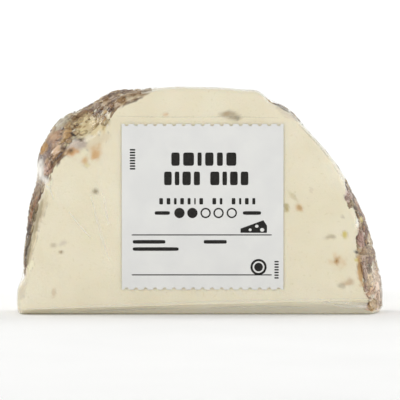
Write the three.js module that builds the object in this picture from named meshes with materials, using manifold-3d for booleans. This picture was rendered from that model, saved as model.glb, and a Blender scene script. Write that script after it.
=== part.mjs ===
import * as THREE from 'three';
import { mergeVertices } from 'three/addons/utils/BufferGeometryUtils.js';
import Module from 'manifold-3d';

// A slice cut across a half-round loaf of soft cheese that is coated with walnuts.
// It stands on the loaf's flat base, with the cut face to the front and a price label on it.
// Clear film is drawn tight over everything, so the slice carries the outer form of both.
// Millimetres, +X to the right along the cut face, +Y from the cut face to the back, +Z up.

// Driving dimensions of the slice
const WIDTH = 122.4;
const HEIGHT = 76;
const THICKNESS = 25;
const EYE_HEIGHT = 26; // a point inside the outline, from which every edge can be seen
const FOOT_CORNER = 3.2; // radius where the arch meets the base

// The arch is an ellipse on the right and a squarer curve on the left
const RIGHT_POWER = 2;
const LEFT_POWER = 3.35;
const FLANK_DENT = 2.2; // how far the left flank is pressed in above the foot

// Where the real arch leaves that curve: degrees from +X, and millimetres outwards
const ARCH_LOBES = [
  { at: 74, reach: 6, depth: 1.8 },
  { at: 110.5, reach: 3, depth: 1 },
  { at: 119, reach: 3, depth: -1.3 },
  { at: 141, reach: 3, depth: -0.9 },
];

// The coat slopes from the rim of the cut face out to the widest outline
const RIM_INSET = 0.9;
const COAT_LOBES = [
  { at: 13, reach: 16, depth: 6 },
  { at: 123, reach: 8.5, depth: 11.5 },
  { at: 146, reach: 10, depth: 4.4 },
];
const WIDEST = 0.6; // share of the thickness at which the outline is widest
const BACK_INSET = 2;
const EDGE_ROUND = 1.4;
const BEVEL_LEFT = 1.6; // height of the pressed lower edge of the cut face, at each end
const BEVEL_RIGHT = 5;
const BEVEL_DEPTH = 3.2;

// Walnut pieces
const CLEARANCE = 0.35; // between a large piece and the pocket it is pressed into
const FINE_LENGTH = 11.2; // pieces longer than this have more faces
const SMALLEST_CHIP = 3.6;
const LARGEST_CHIP = 6.2;
const CHIP_TRIES = 1100;
const CHIP_CROWDING = 0.46; // least distance to a neighbour, as a share of their summed sizes
const CHIPS_BACK = 0.04; // how far chips stay behind the cut face, as a share of the thickness
const TOP_CHIPS_BACK = 0.25;
const GRAIN_SEED = 11;

// The label has straight sides, and a stamp's perforated edge at the top and the bottom
const LABEL_WIDTH = 55;
const LABEL_HEIGHT = 56.3;
const LABEL_THICKNESS = 0.4;
const LABEL_GAP = 0.3;
const LABEL_MIDDLE_X = 0.8;
const LABEL_MIDDLE_Z = 35.8;
const NOTCHES = 17;
const NOTCH_RADIUS = 0.85;
const NOTCH_STEPS = 2;

const CORNER_TURN = 1.97; // of the foot corners, seen from the eye point
const CROWDING = 0.75;
const ROUND_STEPS = 72; // around the outline
const FACE_SHARES = [0, 0.5, 0.9]; // from the middle of a face to its edge
const RIM_SHARES = [0, 0.02, 0.06, 0.13, 0.26, 0.42, 0.6, 0.8, 0.94, 0.98, 1];

const { degToRad, radToDeg, smoothstep, lerp, seededRandom } = THREE.MathUtils;
const wasm = await Module();
wasm.setup();

// Shape of the slice

// The sum of rounded lobes along the arch, at an angle in degrees
function sumLobes(lobes, angle) {
  const heights = lobes.map(({ at, reach, depth }) => depth * Math.exp(-0.5 * ((angle - at) / reach) ** 2));
  return heights.reduce((sum, height) => sum + height, 0);
}

// Distance from the middle of the base to the arch, at an angle in degrees from +X
function archRadius(angle) {
  const power = lerp(RIGHT_POWER, LEFT_POWER, smoothstep(angle, 78, 122));
  const across = Math.abs(Math.cos(degToRad(angle))) / (WIDTH / 2);
  const up = Math.max(Math.sin(degToRad(angle)), 0) / HEIGHT;
  const curve = (across ** power + up ** power) ** (-1 / power);
  const dent = FLANK_DENT * smoothstep(angle, 133, 142) * (1 - smoothstep(angle, 165, 173));
  return curve + sumLobes(ARCH_LOBES, angle) - dent;
}

// How far the coat lies inside the arch: share 0 is the cut face, share 1 is the back
function coatInset(angle, share) {
  const atFace = RIM_INSET + sumLobes(COAT_LOBES, angle);
  const slope = 1 - smoothstep(share, -0.25, WIDEST);
  const back = BACK_INSET * smoothstep(share, WIDEST, 1.1);
  return atFace * slope + back + edgeRound(share);
}

// The rounding of the two edges, zero away from them
function edgeRound(share) {
  const fromEdge = Math.min(share, 1 - share) * THICKNESS;
  const left = Math.max(0, 1 - fromEdge / EDGE_ROUND);
  return EDGE_ROUND * (1 - Math.sqrt(1 - left * left));
}

// How far the underside is lifted: the lower edges are pressed in, the middle is flat
function baseLift(x, share) {
  const height = lerp(BEVEL_LEFT, BEVEL_RIGHT, (x + WIDTH / 2) / WIDTH);
  const front = Math.max(0, 1 - (share * THICKNESS) / BEVEL_DEPTH);
  return height * front + (share > 0.5 ? edgeRound(share) : 0);
}

// True where a point of the layer at this share lies inside the slice
function isInside(x, z, share) {
  const angle = radToDeg(Math.atan2(z, x));
  const fromArch = archRadius(angle) - coatInset(angle, share) - Math.hypot(x, z);
  const fromBase = z - baseLift(x, share);
  if (Math.min(fromArch, fromBase) < 0) return false;
  const cornerX = Math.max(0, FOOT_CORNER - fromArch);
  const cornerZ = Math.max(0, FOOT_CORNER - fromBase);
  return Math.hypot(cornerX, cornerZ) <= FOOT_CORNER;
}

// The edge of a layer in one direction from the eye point, found by halving
function edgePoint(direction, share) {
  let near = 0;
  let far = WIDTH;
  for (let step = 0; step < 26; step += 1) {
    const middle = (near + far) / 2;
    const x = middle * Math.cos(direction);
    const z = EYE_HEIGHT + middle * Math.sin(direction);
    if (isInside(x, z, share)) near = middle;
    else far = middle;
  }
  const z = EYE_HEIGHT + near * Math.sin(direction);
  return new THREE.Vector2(near * Math.cos(direction), z < 1e-3 ? 0 : z);
}

// Crowds the steps round the outline towards the two foot corners. The turn is from straight
// up, in radians, and each corner lies at CORNER_TURN to one side.
function crowdedTurn(turn) {
  const size = Math.abs(turn);
  const isAbove = size < CORNER_TURN;
  const start = isAbove ? 0 : CORNER_TURN;
  const span = isAbove ? CORNER_TURN : Math.PI - CORNER_TURN;
  const shift = (CROWDING * Math.sin((Math.PI * (size - start)) / span)) / Math.PI;
  return Math.sign(turn) * (size + (isAbove ? shift : -shift) * span);
}

// A lathe of radius 1 gives the grid: its radius is the share of the way out to the edge,
// its height is the share of the thickness, and each ring is then drawn out to the outline
function makeSliceGeometry() {
  const profile = [
    ...FACE_SHARES.map((out) => new THREE.Vector2(out, 0)),
    ...RIM_SHARES.map((share) => new THREE.Vector2(1, share)),
    ...FACE_SHARES.toReversed().map((out) => new THREE.Vector2(out, 1)),
  ];
  const geometry = new THREE.LatheGeometry(profile, ROUND_STEPS);
  const spot = geometry.attributes.position;
  for (let i = 0; i < spot.count; i += 1) {
    const out = Math.hypot(spot.getX(i), spot.getZ(i));
    const share = spot.getY(i);
    const turn = crowdedTurn(Math.atan2(spot.getX(i), spot.getZ(i)));
    const edge = edgePoint(Math.PI / 2 - turn, share);
    const z = lerp(EYE_HEIGHT, edge.y, Math.min(out, 1));
    spot.setXYZ(i, edge.x * Math.min(out, 1), (share - 0.5) * THICKNESS, z);
  }
  return geometry;
}

// Closed geometry and solids

function weld(geometry) {
  const bare = geometry.clone();
  bare.deleteAttribute('normal');
  bare.deleteAttribute('uv');
  const merged = mergeVertices(bare, 1e-4);
  const corners = merged.index.array;
  const kept = [];
  for (let i = 0; i < corners.length; i += 3) {
    const [a, b, c] = [corners[i], corners[i + 1], corners[i + 2]];
    if (a !== b && b !== c && c !== a) kept.push(a, b, c);
  }
  merged.setIndex(kept);
  return merged;
}

function toSolid(geometry) {
  return new wasm.Manifold(new wasm.Mesh({
    numProp: 3,
    vertProperties: Float32Array.from(geometry.attributes.position.array),
    triVerts: Uint32Array.from(geometry.index.array),
  }));
}

function toGeometry(solid) {
  const mesh = solid.getMesh();
  const geometry = new THREE.BufferGeometry();
  geometry.setAttribute('position', new THREE.BufferAttribute(mesh.vertProperties, 3));
  geometry.setIndex(new THREE.BufferAttribute(mesh.triVerts, 1));
  geometry.computeVertexNormals();
  return geometry;
}

// Places on the coat

function coatPoint(angle, share) {
  const radius = archRadius(angle) - coatInset(angle, share);
  const turn = degToRad(angle);
  return new THREE.Vector3(radius * Math.cos(turn), (share - 0.5) * THICKNESS, radius * Math.sin(turn));
}

// Local axes on the coat: along the arch, across to the cut face, and straight out
function coatFrame(angle, share, turn) {
  const spot = coatPoint(angle, share);
  const along = coatPoint(angle + 2, share).sub(coatPoint(angle - 2, share)).normalize();
  const across = coatPoint(angle, share - 0.04).sub(coatPoint(angle, share + 0.04));
  const out = new THREE.Vector3().crossVectors(along, across).normalize();
  across.crossVectors(out, along);
  const frame = new THREE.Matrix4().makeBasis(along, across, out);
  frame.multiply(new THREE.Matrix4().makeRotationZ(degToRad(turn)));
  return { spot, out, turned: new THREE.Quaternion().setFromRotationMatrix(frame) };
}

// Walnut pieces

// A broken piece of kernel: a lobed, wrinkled pebble with one flat broken face. It can be grown
// a little on all sides, for the pocket that it is pressed into.
function makeKernelGeometry({ length, width, height, seed }, detail, grow) {
  const geometry = weld(new THREE.IcosahedronGeometry(1, detail));
  const spot = geometry.attributes.position;
  const way = new THREE.Vector3();
  seededRandom(seed);
  const phase = seededRandom() * Math.PI * 2;
  const breakTurn = seededRandom() * Math.PI * 2;
  const broken = new THREE.Vector3(Math.cos(breakTurn), Math.sin(breakTurn), 0.25).normalize();
  const breakAt = lerp(0.62, 0.8, seededRandom());
  for (let i = 0; i < spot.count; i += 1) {
    way.fromBufferAttribute(spot, i).normalize();
    const around = Math.atan2(way.y, way.x);
    const lobes = 0.09 * Math.sin(3 * around + phase) + 0.06 * Math.sin(5 * around - phase);
    const wrinkles = 0.06 * Math.sin(9 * way.x + phase) * Math.sin(8 * way.y - phase);
    way.multiplyScalar(1 + lobes * (1 - way.z * way.z) + wrinkles);
    const past = way.dot(broken) - breakAt;
    if (past > 0) way.addScaledVector(broken, -past * 0.85);
    way.multiply(new THREE.Vector3(length / 2, width / 2, height / 2));
    way.setLength(way.length() + grow);
    spot.setXYZ(i, way.x, way.y, way.z);
  }
  return geometry;
}

// Large pieces that show from the front, left foot to right foot. The angle and the share
// place the middle on the coat, turn is from the arch's own direction, proud is how far the
// middle stands out of the coat.
const SHOWN_PIECES = [
  { angle: 165.5, share: 0.5, turn: 10, proud: -2, length: 11, width: 8, height: 6, seed: 3 },
  { angle: 155, share: 0.42, turn: -12, proud: -1.8, length: 11, width: 8.5, height: 6, seed: 4 },
  { angle: 144.5, share: 0.38, turn: 6, proud: -1.6, length: 12.5, width: 9, height: 6.4, seed: 5 },
  { angle: 132.6, share: 0.32, turn: 14, proud: -1, length: 15, width: 11, height: 7, seed: 6 },
  { angle: 120.6, share: 0.25, turn: 20, proud: -0.6, length: 13, width: 11, height: 7.4, seed: 7 },
  { angle: 111, share: 0.36, turn: -14, proud: -1.6, length: 11.5, width: 9.5, height: 6, seed: 8 },
  { angle: 36.4, share: 0.42, turn: 12, proud: -2, length: 10, width: 8.5, height: 5.6, seed: 9 },
  { angle: 27.2, share: 0.36, turn: -14, proud: -1.9, length: 9.5, width: 8.5, height: 6, seed: 10 },
  { angle: 18, share: 0.34, turn: 20, proud: -1.7, length: 10.5, width: 9, height: 6, seed: 12 },
  { angle: 8.8, share: 0.4, turn: -8, proud: -1.8, length: 9.5, width: 9, height: 5.6, seed: 13 },
];

// The rest of the coat's large pieces, behind those and along the top
const BACK_ROW = 0.77;
const TOP_ROW = 0.46;
const ROW_START = 13;
const ROW_END = 162;
const ROW_PITCH = 11.2;
const TOP_REACH = [54, 103]; // where the top row lies, out of sight behind the rim
const HIDDEN_PIECES = [];
seededRandom(GRAIN_SEED);
for (let angle = ROW_START; angle < ROW_END; angle += ROW_PITCH) {
  for (const row of [BACK_ROW, TOP_ROW]) {
    const size = lerp(8.6, 10.8, seededRandom());
    const slip = lerp(-1, 1, seededRandom());
    const turn = lerp(-35, 35, seededRandom());
    const place = row === TOP_ROW ? angle + ROW_PITCH / 2 : angle;
    if (row === TOP_ROW && (place < TOP_REACH[0] || place > TOP_REACH[1])) continue;
    HIDDEN_PIECES.push({
      angle: place + slip,
      share: row,
      turn,
      proud: -size * 0.19,
      length: size,
      width: size * 0.76,
      height: size * 0.52,
      seed: 20 + HIDDEN_PIECES.length,
    });
  }
}

function placeOn(geometry, piece) {
  const mesh = new THREE.Mesh(geometry);
  const { spot, out, turned } = coatFrame(piece.angle, piece.share, piece.turn);
  mesh.position.copy(spot).addScaledVector(out, piece.proud);
  mesh.quaternion.copy(turned);
  mesh.updateMatrix();
  return mesh;
}

// Small chips fill the coat between the large pieces, and are one with the slice
function makeChips(largePieces) {
  const taken = largePieces.map((piece) => ({
    spot: placeOn(new THREE.BufferGeometry(), piece).position,
    size: Math.max(piece.length, piece.width),
  }));
  const chips = [];
  seededRandom(GRAIN_SEED);
  for (let i = 0; i < CHIP_TRIES; i += 1) {
    const angle = lerp(3, 177, seededRandom());
    const share = seededRandom();
    const size = lerp(SMALLEST_CHIP, LARGEST_CHIP, seededRandom() ** 1.6);
    const turn = seededRandom() * 360;
    const piece = {
      angle,
      share,
      turn,
      proud: -size * 0.2,
      length: size,
      width: size * 0.85,
      height: size * 0.7,
      seed: 100 + i,
    };
    const { position } = placeOn(new THREE.BufferGeometry(), piece);
    const isOnTop = angle > TOP_REACH[0] && angle < TOP_REACH[1];
    const halfSize = (0.5 * size) / THICKNESS;
    const frontLimit = halfSize + (isOnTop ? TOP_CHIPS_BACK : CHIPS_BACK);
    const isOnCoat = share > frontLimit && share < 1 - halfSize;
    const isAboveBase = position.z > 0.6 * size + 0.5;
    const isClear = taken.every((other) => (
      other.spot.distanceTo(position) > CHIP_CROWDING * (other.size + size)));
    if (!isOnCoat || !isAboveBase || !isClear) continue;
    taken.push({ spot: position, size });
    chips.push(piece);
  }
  return chips;
}

function solidOn(piece, detail, grow) {
  const mesh = placeOn(makeKernelGeometry(piece, detail, grow), piece);
  return toSolid(mesh.geometry.clone().applyMatrix4(mesh.matrix));
}

// Label

// Half-round notches are bitten out of the upper and lower edges, as on a stamp
function makeLabelShape() {
  const right = LABEL_WIDTH / 2;
  const top = LABEL_HEIGHT / 2;
  const middles = Array.from({ length: NOTCHES }, (_, i) => ((i + 0.5) / NOTCHES - 0.5) * LABEL_WIDTH);
  const shape = new THREE.Shape();
  shape.moveTo(-right, -top);
  for (const x of middles) shape.absarc(x, -top, NOTCH_RADIUS, Math.PI, 0, true);
  shape.lineTo(right, -top);
  shape.lineTo(right, top);
  for (const x of middles) shape.absarc(-x, top, NOTCH_RADIUS, 0, Math.PI, true);
  shape.lineTo(-right, top);
  return shape;
}

// Assembly

const pasteMaterial = new THREE.MeshStandardMaterial({ color: '#e4ddc3', roughness: 0.42, metalness: 0 });
const walnutMaterial = new THREE.MeshStandardMaterial({ color: '#a08563', roughness: 0.6, metalness: 0 });
const labelMaterial = new THREE.MeshStandardMaterial({ color: '#e4e4df', roughness: 0.5, metalness: 0 });

const largePieces = [
  ...SHOWN_PIECES.map((piece) => ({ ...piece, detail: piece.length > FINE_LENGTH ? 2 : 1 })),
  ...HIDDEN_PIECES.map((piece) => ({ ...piece, detail: 1 })),
];
const chips = makeChips(largePieces);
let slice = toSolid(weld(makeSliceGeometry()));
for (const piece of chips) slice = slice.add(solidOn(piece, 0, 0));
for (const piece of largePieces) slice = slice.subtract(solidOn(piece, piece.detail, CLEARANCE));

const cheese = new THREE.Group();
const sliceMesh = new THREE.Mesh(toGeometry(slice), pasteMaterial);
sliceMesh.name = 'wrapped_cheese';
cheese.add(sliceMesh);

largePieces.forEach((piece, index) => {
  const mesh = placeOn(makeKernelGeometry(piece, piece.detail, 0), piece);
  mesh.material = walnutMaterial;
  mesh.name = `walnut_${String(index + 1).padStart(2, '0')}`;
  cheese.add(mesh);
});

const labelGeometry = new THREE.ExtrudeGeometry(makeLabelShape(), {
  depth: LABEL_THICKNESS,
  bevelEnabled: false,
  curveSegments: NOTCH_STEPS,
});
const label = new THREE.Mesh(weld(labelGeometry), labelMaterial);
label.name = 'price_label';
label.rotation.x = Math.PI / 2;
label.position.set(LABEL_MIDDLE_X, -THICKNESS / 2 - LABEL_GAP, LABEL_MIDDLE_Z);
cheese.add(label);

// The origin is the middle of the base of the whole
const bounds = new THREE.Box3().setFromObject(cheese, true);
const middle = bounds.getCenter(new THREE.Vector3());
cheese.position.set(-middle.x, -middle.y, -bounds.min.z);

const group = new THREE.Group();
group.add(cheese);
export default group;
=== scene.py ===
# %% [markdown]
# # A film-wrapped slice of walnut cheese
# A soft cream cheese is made as a half-round loaf and rolled in broken walnuts. The counter cuts a
# slice across it, stands it on the loaf's flat base, draws clear stretch film tight over it and sticks
# a price label on the cut face. Each of those things is made here as itself: the paste, the walnuts,
# the film and the label.
#
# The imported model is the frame: it says where everything is, in metres, and nothing is fitted later.

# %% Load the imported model
import itertools
import math

import bpy
import numpy as np
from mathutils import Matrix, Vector


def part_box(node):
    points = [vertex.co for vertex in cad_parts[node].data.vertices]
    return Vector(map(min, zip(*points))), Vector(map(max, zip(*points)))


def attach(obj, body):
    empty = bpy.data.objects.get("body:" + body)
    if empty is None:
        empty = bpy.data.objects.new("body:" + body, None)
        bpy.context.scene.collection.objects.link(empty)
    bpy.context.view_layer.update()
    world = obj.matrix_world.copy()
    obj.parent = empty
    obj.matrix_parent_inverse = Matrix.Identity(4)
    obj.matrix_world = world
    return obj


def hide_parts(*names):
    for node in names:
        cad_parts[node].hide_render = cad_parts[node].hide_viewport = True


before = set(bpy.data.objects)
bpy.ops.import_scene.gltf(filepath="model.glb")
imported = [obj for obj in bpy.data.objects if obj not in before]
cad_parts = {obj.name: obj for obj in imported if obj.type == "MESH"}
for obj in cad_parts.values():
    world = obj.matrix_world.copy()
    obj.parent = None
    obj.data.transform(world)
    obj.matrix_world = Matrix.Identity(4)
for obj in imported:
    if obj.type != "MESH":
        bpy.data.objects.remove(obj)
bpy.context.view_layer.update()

print("nodes:", len(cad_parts))

# %% [markdown]
# The shapes below are worked out in millimetres in the slice's own frame: x is measured from the
# middle of its arch, y from the cut face towards the back, and z from the base. The label and the
# slice's own solid say where that frame lies in the model.

# %% The slice's own frame
MM = 0.001
LABEL_RIGHT_OF_MIDDLE = 0.8
LABEL_GAP = 0.3

label_low, label_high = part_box("price_label")
slice_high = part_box("wrapped_cheese")[1]
FACE_Y = label_high.y + LABEL_GAP * MM
MIDDLE_X = (label_low.x + label_high.x) / 2 - LABEL_RIGHT_OF_MIDDLE * MM
THICKNESS = (slice_high.y - FACE_Y) / MM
ORIGIN = np.array([MIDDLE_X, FACE_Y, 0.0])


def to_frame(points):
    """Millimetres in the slice's own frame to metres in the model's frame."""
    return np.asarray(points) * MM + ORIGIN


def from_frame(points):
    """Metres in the model's frame to millimetres in the slice's own frame."""
    return (np.asarray(points) - ORIGIN) / MM


print("thickness of the slice in mm:", round(THICKNESS, 2))

# %% [markdown]
# ## The outline
# Seen from the front the slice is a D lying on its straight side. The arch is an ellipse on the right,
# and a squarer curve, a superellipse of a higher power, on the left. A few rounded lobes give it the
# bumps of the real loaf. The coat slopes from the rim of the cut face out to the widest outline, so
# the outline is a function of two things: the angle round the arch, and the share of the way from the
# cut face to the back.

# %% Sizes of the outline, in mm and degrees
WIDTH = 122.4
HEIGHT = 76.0
RIGHT_POWER = 2.0
LEFT_POWER = 3.35
FLANK_DENT = 2.2
ARCH_LOBES = [
    (74, 6, 1.8), (110.5, 3, 1.0), (119, 3, -1.3), (141, 3, -0.9), (7.5, 4, 0.5), (38, 3.5, -0.45),
    (65.5, 3, 0.9), (75.6, 1.8, 0.9), (71.6, 1.4, -0.95), (98, 5, 0.5), (126.5, 2.4, 0.5), (162, 3.4, 0.6),
    (168.6, 1.5, -0.6), (175.5, 4, 0.6)]
RIM_INSET = 0.9
COAT_LOBES = [(13, 16, 6.0), (123, 8.5, 11.5), (146, 10, 4.4)]
WIDEST = 0.6
BACK_INSET = 2.0
EDGE_ROUND = 1.4
BEVEL_LEFT = 1.6
BEVEL_RIGHT = 5.0
BEVEL_DEPTH = 3.2
print("lobes on the arch:", len(ARCH_LOBES), "and where the coat slopes more:", len(COAT_LOBES))

# %% The arch and the slope of the coat
def ease(value, low, high):
    """0 below low, 1 above high, and a smooth step in between."""
    part = np.clip((value - low) / (high - low), 0, 1)
    return part * part * (3 - 2 * part)


def lobes(shapes, angle):
    """Sum of rounded lobes, each given by its angle, its reach in degrees and its height."""
    return sum(height * np.exp(-0.5 * ((angle - at) / reach) ** 2) for at, reach, height in shapes)


def arch_radius(angle):
    """Distance from the middle of the base to the arch: a superellipse, whose power grows from
    right to left, plus the lobes, less the dent in the left flank."""
    power = RIGHT_POWER + (LEFT_POWER - RIGHT_POWER) * ease(angle, 78, 122)
    across = np.abs(np.cos(np.radians(angle))) / (WIDTH / 2)
    up = np.maximum(np.sin(np.radians(angle)), 0) / HEIGHT
    curve = (across ** power + up ** power) ** (-1 / power)
    dent = FLANK_DENT * ease(angle, 133, 142) * (1 - ease(angle, 165, 173))
    return curve + lobes(ARCH_LOBES, angle) - dent


def edge_round(share):
    """Quarter-circle rounding of the two edges, zero away from them."""
    left = np.maximum(0, 1 - np.minimum(share, 1 - share) * THICKNESS / EDGE_ROUND)
    return EDGE_ROUND * (1 - np.sqrt(np.maximum(1 - left * left, 0)))


def coat_inset(angle, share):
    """How far the coat lies inside the arch, from the cut face (share 0) to the back (share 1). The
    bumps of the arch fade out behind the widest ring."""
    at_face = RIM_INSET + lobes(COAT_LOBES, angle)
    slope = 1 - ease(share, -0.25, WIDEST)
    faded = lobes(ARCH_LOBES, angle) * ease(share, WIDEST, 1.0)
    return at_face * slope + faded + BACK_INSET * ease(share, WIDEST, 1.1) + edge_round(share)


def base_lift(x, share):
    """How far the underside is lifted: the front edge is pressed in, more so on the right."""
    height = BEVEL_LEFT + (BEVEL_RIGHT - BEVEL_LEFT) * (x + WIDTH / 2) / WIDTH
    front = np.maximum(0, 1 - share * THICKNESS / BEVEL_DEPTH)
    return height * front + np.where(share > 0.5, edge_round(share), 0)


print("arch radius at 0, 90 and 180 degrees:", np.round(arch_radius(np.array([0.0, 90.0, 180.0])), 1))

# %% [markdown]
# Every ring of the surface is found by looking out from one eye point inside the outline. In each
# direction the edge is found by halving the distance again and again, for all directions at once.
# The rings crowd together at the two foot corners, where the outline turns sharply.

# %% Edge of one ring
FOOT_CORNER = 1.6
EYE_HEIGHT = 26.0
HALVINGS = 28


def is_inside(x, z, share):
    """True inside the outline: under the arch, over the base, and within the round foot corners."""
    angle = np.degrees(np.arctan2(z, x))
    from_arch = arch_radius(angle) - coat_inset(angle, share) - np.hypot(x, z)
    from_base = z - base_lift(x, share)
    corner = np.hypot(np.maximum(0, FOOT_CORNER - from_arch), np.maximum(0, FOOT_CORNER - from_base))
    return (np.minimum(from_arch, from_base) >= 0) & (corner <= FOOT_CORNER)


def edge_point(turn, share):
    """The edge of a ring, in the directions turned from straight up, by halving the distance."""
    near = np.zeros(np.broadcast(turn, share).shape)
    far = np.full_like(near, WIDTH)
    for _ in range(HALVINGS):
        middle = (near + far) / 2
        inside = is_inside(middle * np.sin(turn), EYE_HEIGHT + middle * np.cos(turn), share)
        near = np.where(inside, middle, near)
        far = np.where(inside, far, middle)
    return near * np.sin(turn), EYE_HEIGHT + near * np.cos(turn)


# %% Rings of the surface
CORNER_TURN = 1.97
CROWDING = 0.7


def crowded_turns(columns):
    """Turns from straight up, round the outline, closer together near the two foot corners."""
    even = np.linspace(-math.pi, math.pi, columns, endpoint=False)
    size = np.abs(even)
    start = np.where(size < CORNER_TURN, 0, CORNER_TURN)
    span = np.where(size < CORNER_TURN, CORNER_TURN, math.pi - CORNER_TURN)
    shift = CROWDING * np.sin(math.pi * (size - start) / span) / math.pi * span
    return np.sign(even) * (size + np.where(size < CORNER_TURN, shift, -shift))


def section(face_rows, edge_rows, rim_rows):
    """Rows from the middle of the cut face, over the edge, across the coat, to the middle of the
    back. Each row is a share of the way out to the edge, and a share of the thickness. The back has
    half as many rows as the cut face."""
    out = np.linspace(0, 1, face_rows + 1)[1:-1]
    corner = EDGE_ROUND / THICKNESS * (1 - np.cos(np.linspace(0, math.pi / 2, edge_rows)))
    rim = np.linspace(corner[-1], 1 - corner[-1], rim_rows)[1:-1]
    shares = np.concatenate([0 * out, corner, rim, 1 - corner[::-1], 0 * out[::2] + 1])
    outs = np.concatenate([out, np.ones(2 * edge_rows + rim_rows - 2), out[::-2]])
    return outs[:, None], shares[:, None]


def slice_rings(turns, outs, shares):
    """Points of the slice's surface: one ring per row, drawn out from the eye point to the edge."""
    x, z = edge_point(turns[None, :], shares)
    y = np.broadcast_to(shares * THICKNESS, x.shape)
    return np.stack([outs * x, y, EYE_HEIGHT + outs * (z - EYE_HEIGHT)], axis=-1)


def ring_normals(rings):
    """Outward normals of rings: the way round crossed with the way from front to back."""
    around = np.roll(rings, -1, axis=-2) - np.roll(rings, 1, axis=-2)
    along = np.gradient(rings, axis=-3)
    normal = np.cross(around, along)
    return normal / np.maximum(np.linalg.norm(normal, axis=-1, keepdims=True), 1e-9)


# %% [markdown]
# ## Noise and meshes
# Real food is uneven at every size. Value noise gives that: random numbers on a cubic lattice, blended
# smoothly between its points. A hash of the lattice point makes the number, so each run is the same.
#
# Every closed body here, from the paste to the smallest crumb, is a stack of rings with a pole at each
# end, so one function turns such a stack, or many at once, into a mesh.

# %% Noise
def noise(points, size, seed):
    """Value noise from -1 to 1 at points in mm, on a lattice with size mm between its points."""
    scaled = points / size
    cell = np.floor(scaled)
    part = scaled - cell
    part = part * part * (3 - 2 * part)
    total = np.zeros(points.shape[:-1])
    for corner in itertools.product((0, 1), repeat=3):
        spot = (cell + corner).astype(np.int64)
        mixed = (spot[..., 0] * 73856093) ^ (spot[..., 1] * 19349663) ^ (spot[..., 2] * 83492791)
        mixed = (mixed ^ (seed * 374761393)) & 0x7FFFFFFF
        mixed = ((mixed ^ (mixed >> 13)) * 1274126177) & 0x7FFFFFFF
        mixed = (mixed ^ (mixed >> 16)) & 0xFFFF
        weight = np.prod(np.where(np.array(corner) == 1, part, 1 - part), axis=-1)
        total += weight * (mixed / 32767.5 - 1)
    return total


# %% Meshes from rings
def skin_faces(rows, columns):
    """Faces of one stack of rings whose two pole points come last: quads between the rings, and a
    fan of triangles at each pole, all facing outwards."""
    ring = np.arange(columns)
    after = np.roll(ring, -1)
    start = np.arange(rows - 1)[:, None] * columns
    quads = np.stack([start + ring, start + after, start + columns + after, start + columns + ring], -1)
    last = (rows - 1) * columns
    poles = np.full(columns, rows * columns)
    front = np.stack([poles, after, ring], -1)
    back = np.stack([last + ring, last + after, poles + 1], -1)
    return quads.reshape(-1, 4), np.concatenate([front, back])


ATTRIBUTE_KINDS = {1: ("FLOAT", "value"), 3: ("FLOAT_VECTOR", "vector"), 4: ("FLOAT_COLOR", "color")}


def add_mesh(name, points, faces):
    """A new piece of the slice from points in mm and faces."""
    mesh = bpy.data.meshes.new(name)
    mesh.from_pydata(to_frame(points), [], faces)
    piece = bpy.data.objects.new(name, mesh)
    bpy.context.scene.collection.objects.link(piece)
    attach(piece, "root")
    print(name, len(mesh.polygons), "faces")
    return piece


def add_skins(name, stacks, values):
    """One mesh from closed bodies, as an array of bodies, rings, points and coordinates in mm.
    values holds a number, vector or colour for each point, in arrays of the same first three sizes."""
    bodies, rows, columns, _ = stacks.shape

    def with_poles(array):
        flat = array.reshape(bodies, rows * columns, -1)
        ends = np.stack([array[:, 0].mean(1), array[:, -1].mean(1)], 1).reshape(bodies, 2, -1)
        return np.concatenate([flat, ends], axis=1).reshape(bodies * (rows * columns + 2), -1)

    quads, triangles = skin_faces(rows, columns)
    first = (np.arange(bodies) * (rows * columns + 2))[:, None, None]
    faces = (first + quads).reshape(-1, 4).tolist() + (first + triangles).reshape(-1, 3).tolist()
    piece = add_mesh(name, with_poles(stacks), faces)
    for label, array in values.items():
        array = array.reshape(bodies, rows, columns, -1)
        kind, field = ATTRIBUTE_KINDS[array.shape[3]]
        data = with_poles(array).astype(np.float32)
        piece.data.attributes.new(label, kind, "POINT").data.foreach_set(field, data.ravel())
    piece.data.shade_smooth()
    return piece


# %% Colours
def linear(code):
    """An sRGB hex colour as linear red, green, blue and 1."""
    parts = np.array([int(code[i:i + 2], 16) for i in (1, 3, 5)]) / 255
    parts = np.where(parts <= 0.04045, parts / 12.92, ((parts + 0.055) / 1.055) ** 2.4)
    return (*parts.tolist(), 1.0)


# %% [markdown]
# ## Bits of walnut in the cut face
# The knife cuts through walnuts that are mixed into the paste. Each bit lies flush in the face, amber
# where the kernel is fresh and brown where its skin shows, and its oil tints the paste around it. The
# bits of the front are listed one by one, with their real sizes. The back has bits of the same kinds.

# %% Bits in the cut faces
TONES = {
    "amber": "#cfa06b",
    "honey": "#d3b383",
    "brown": "#84694c",
    "grey": "#978970",
    "lilac": "#b9aca0",
    "dark": "#43382e",
    "yellow": "#cdbd62",
    "tan": "#b8966e",
    "olive": "#a5965f",
}
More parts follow.
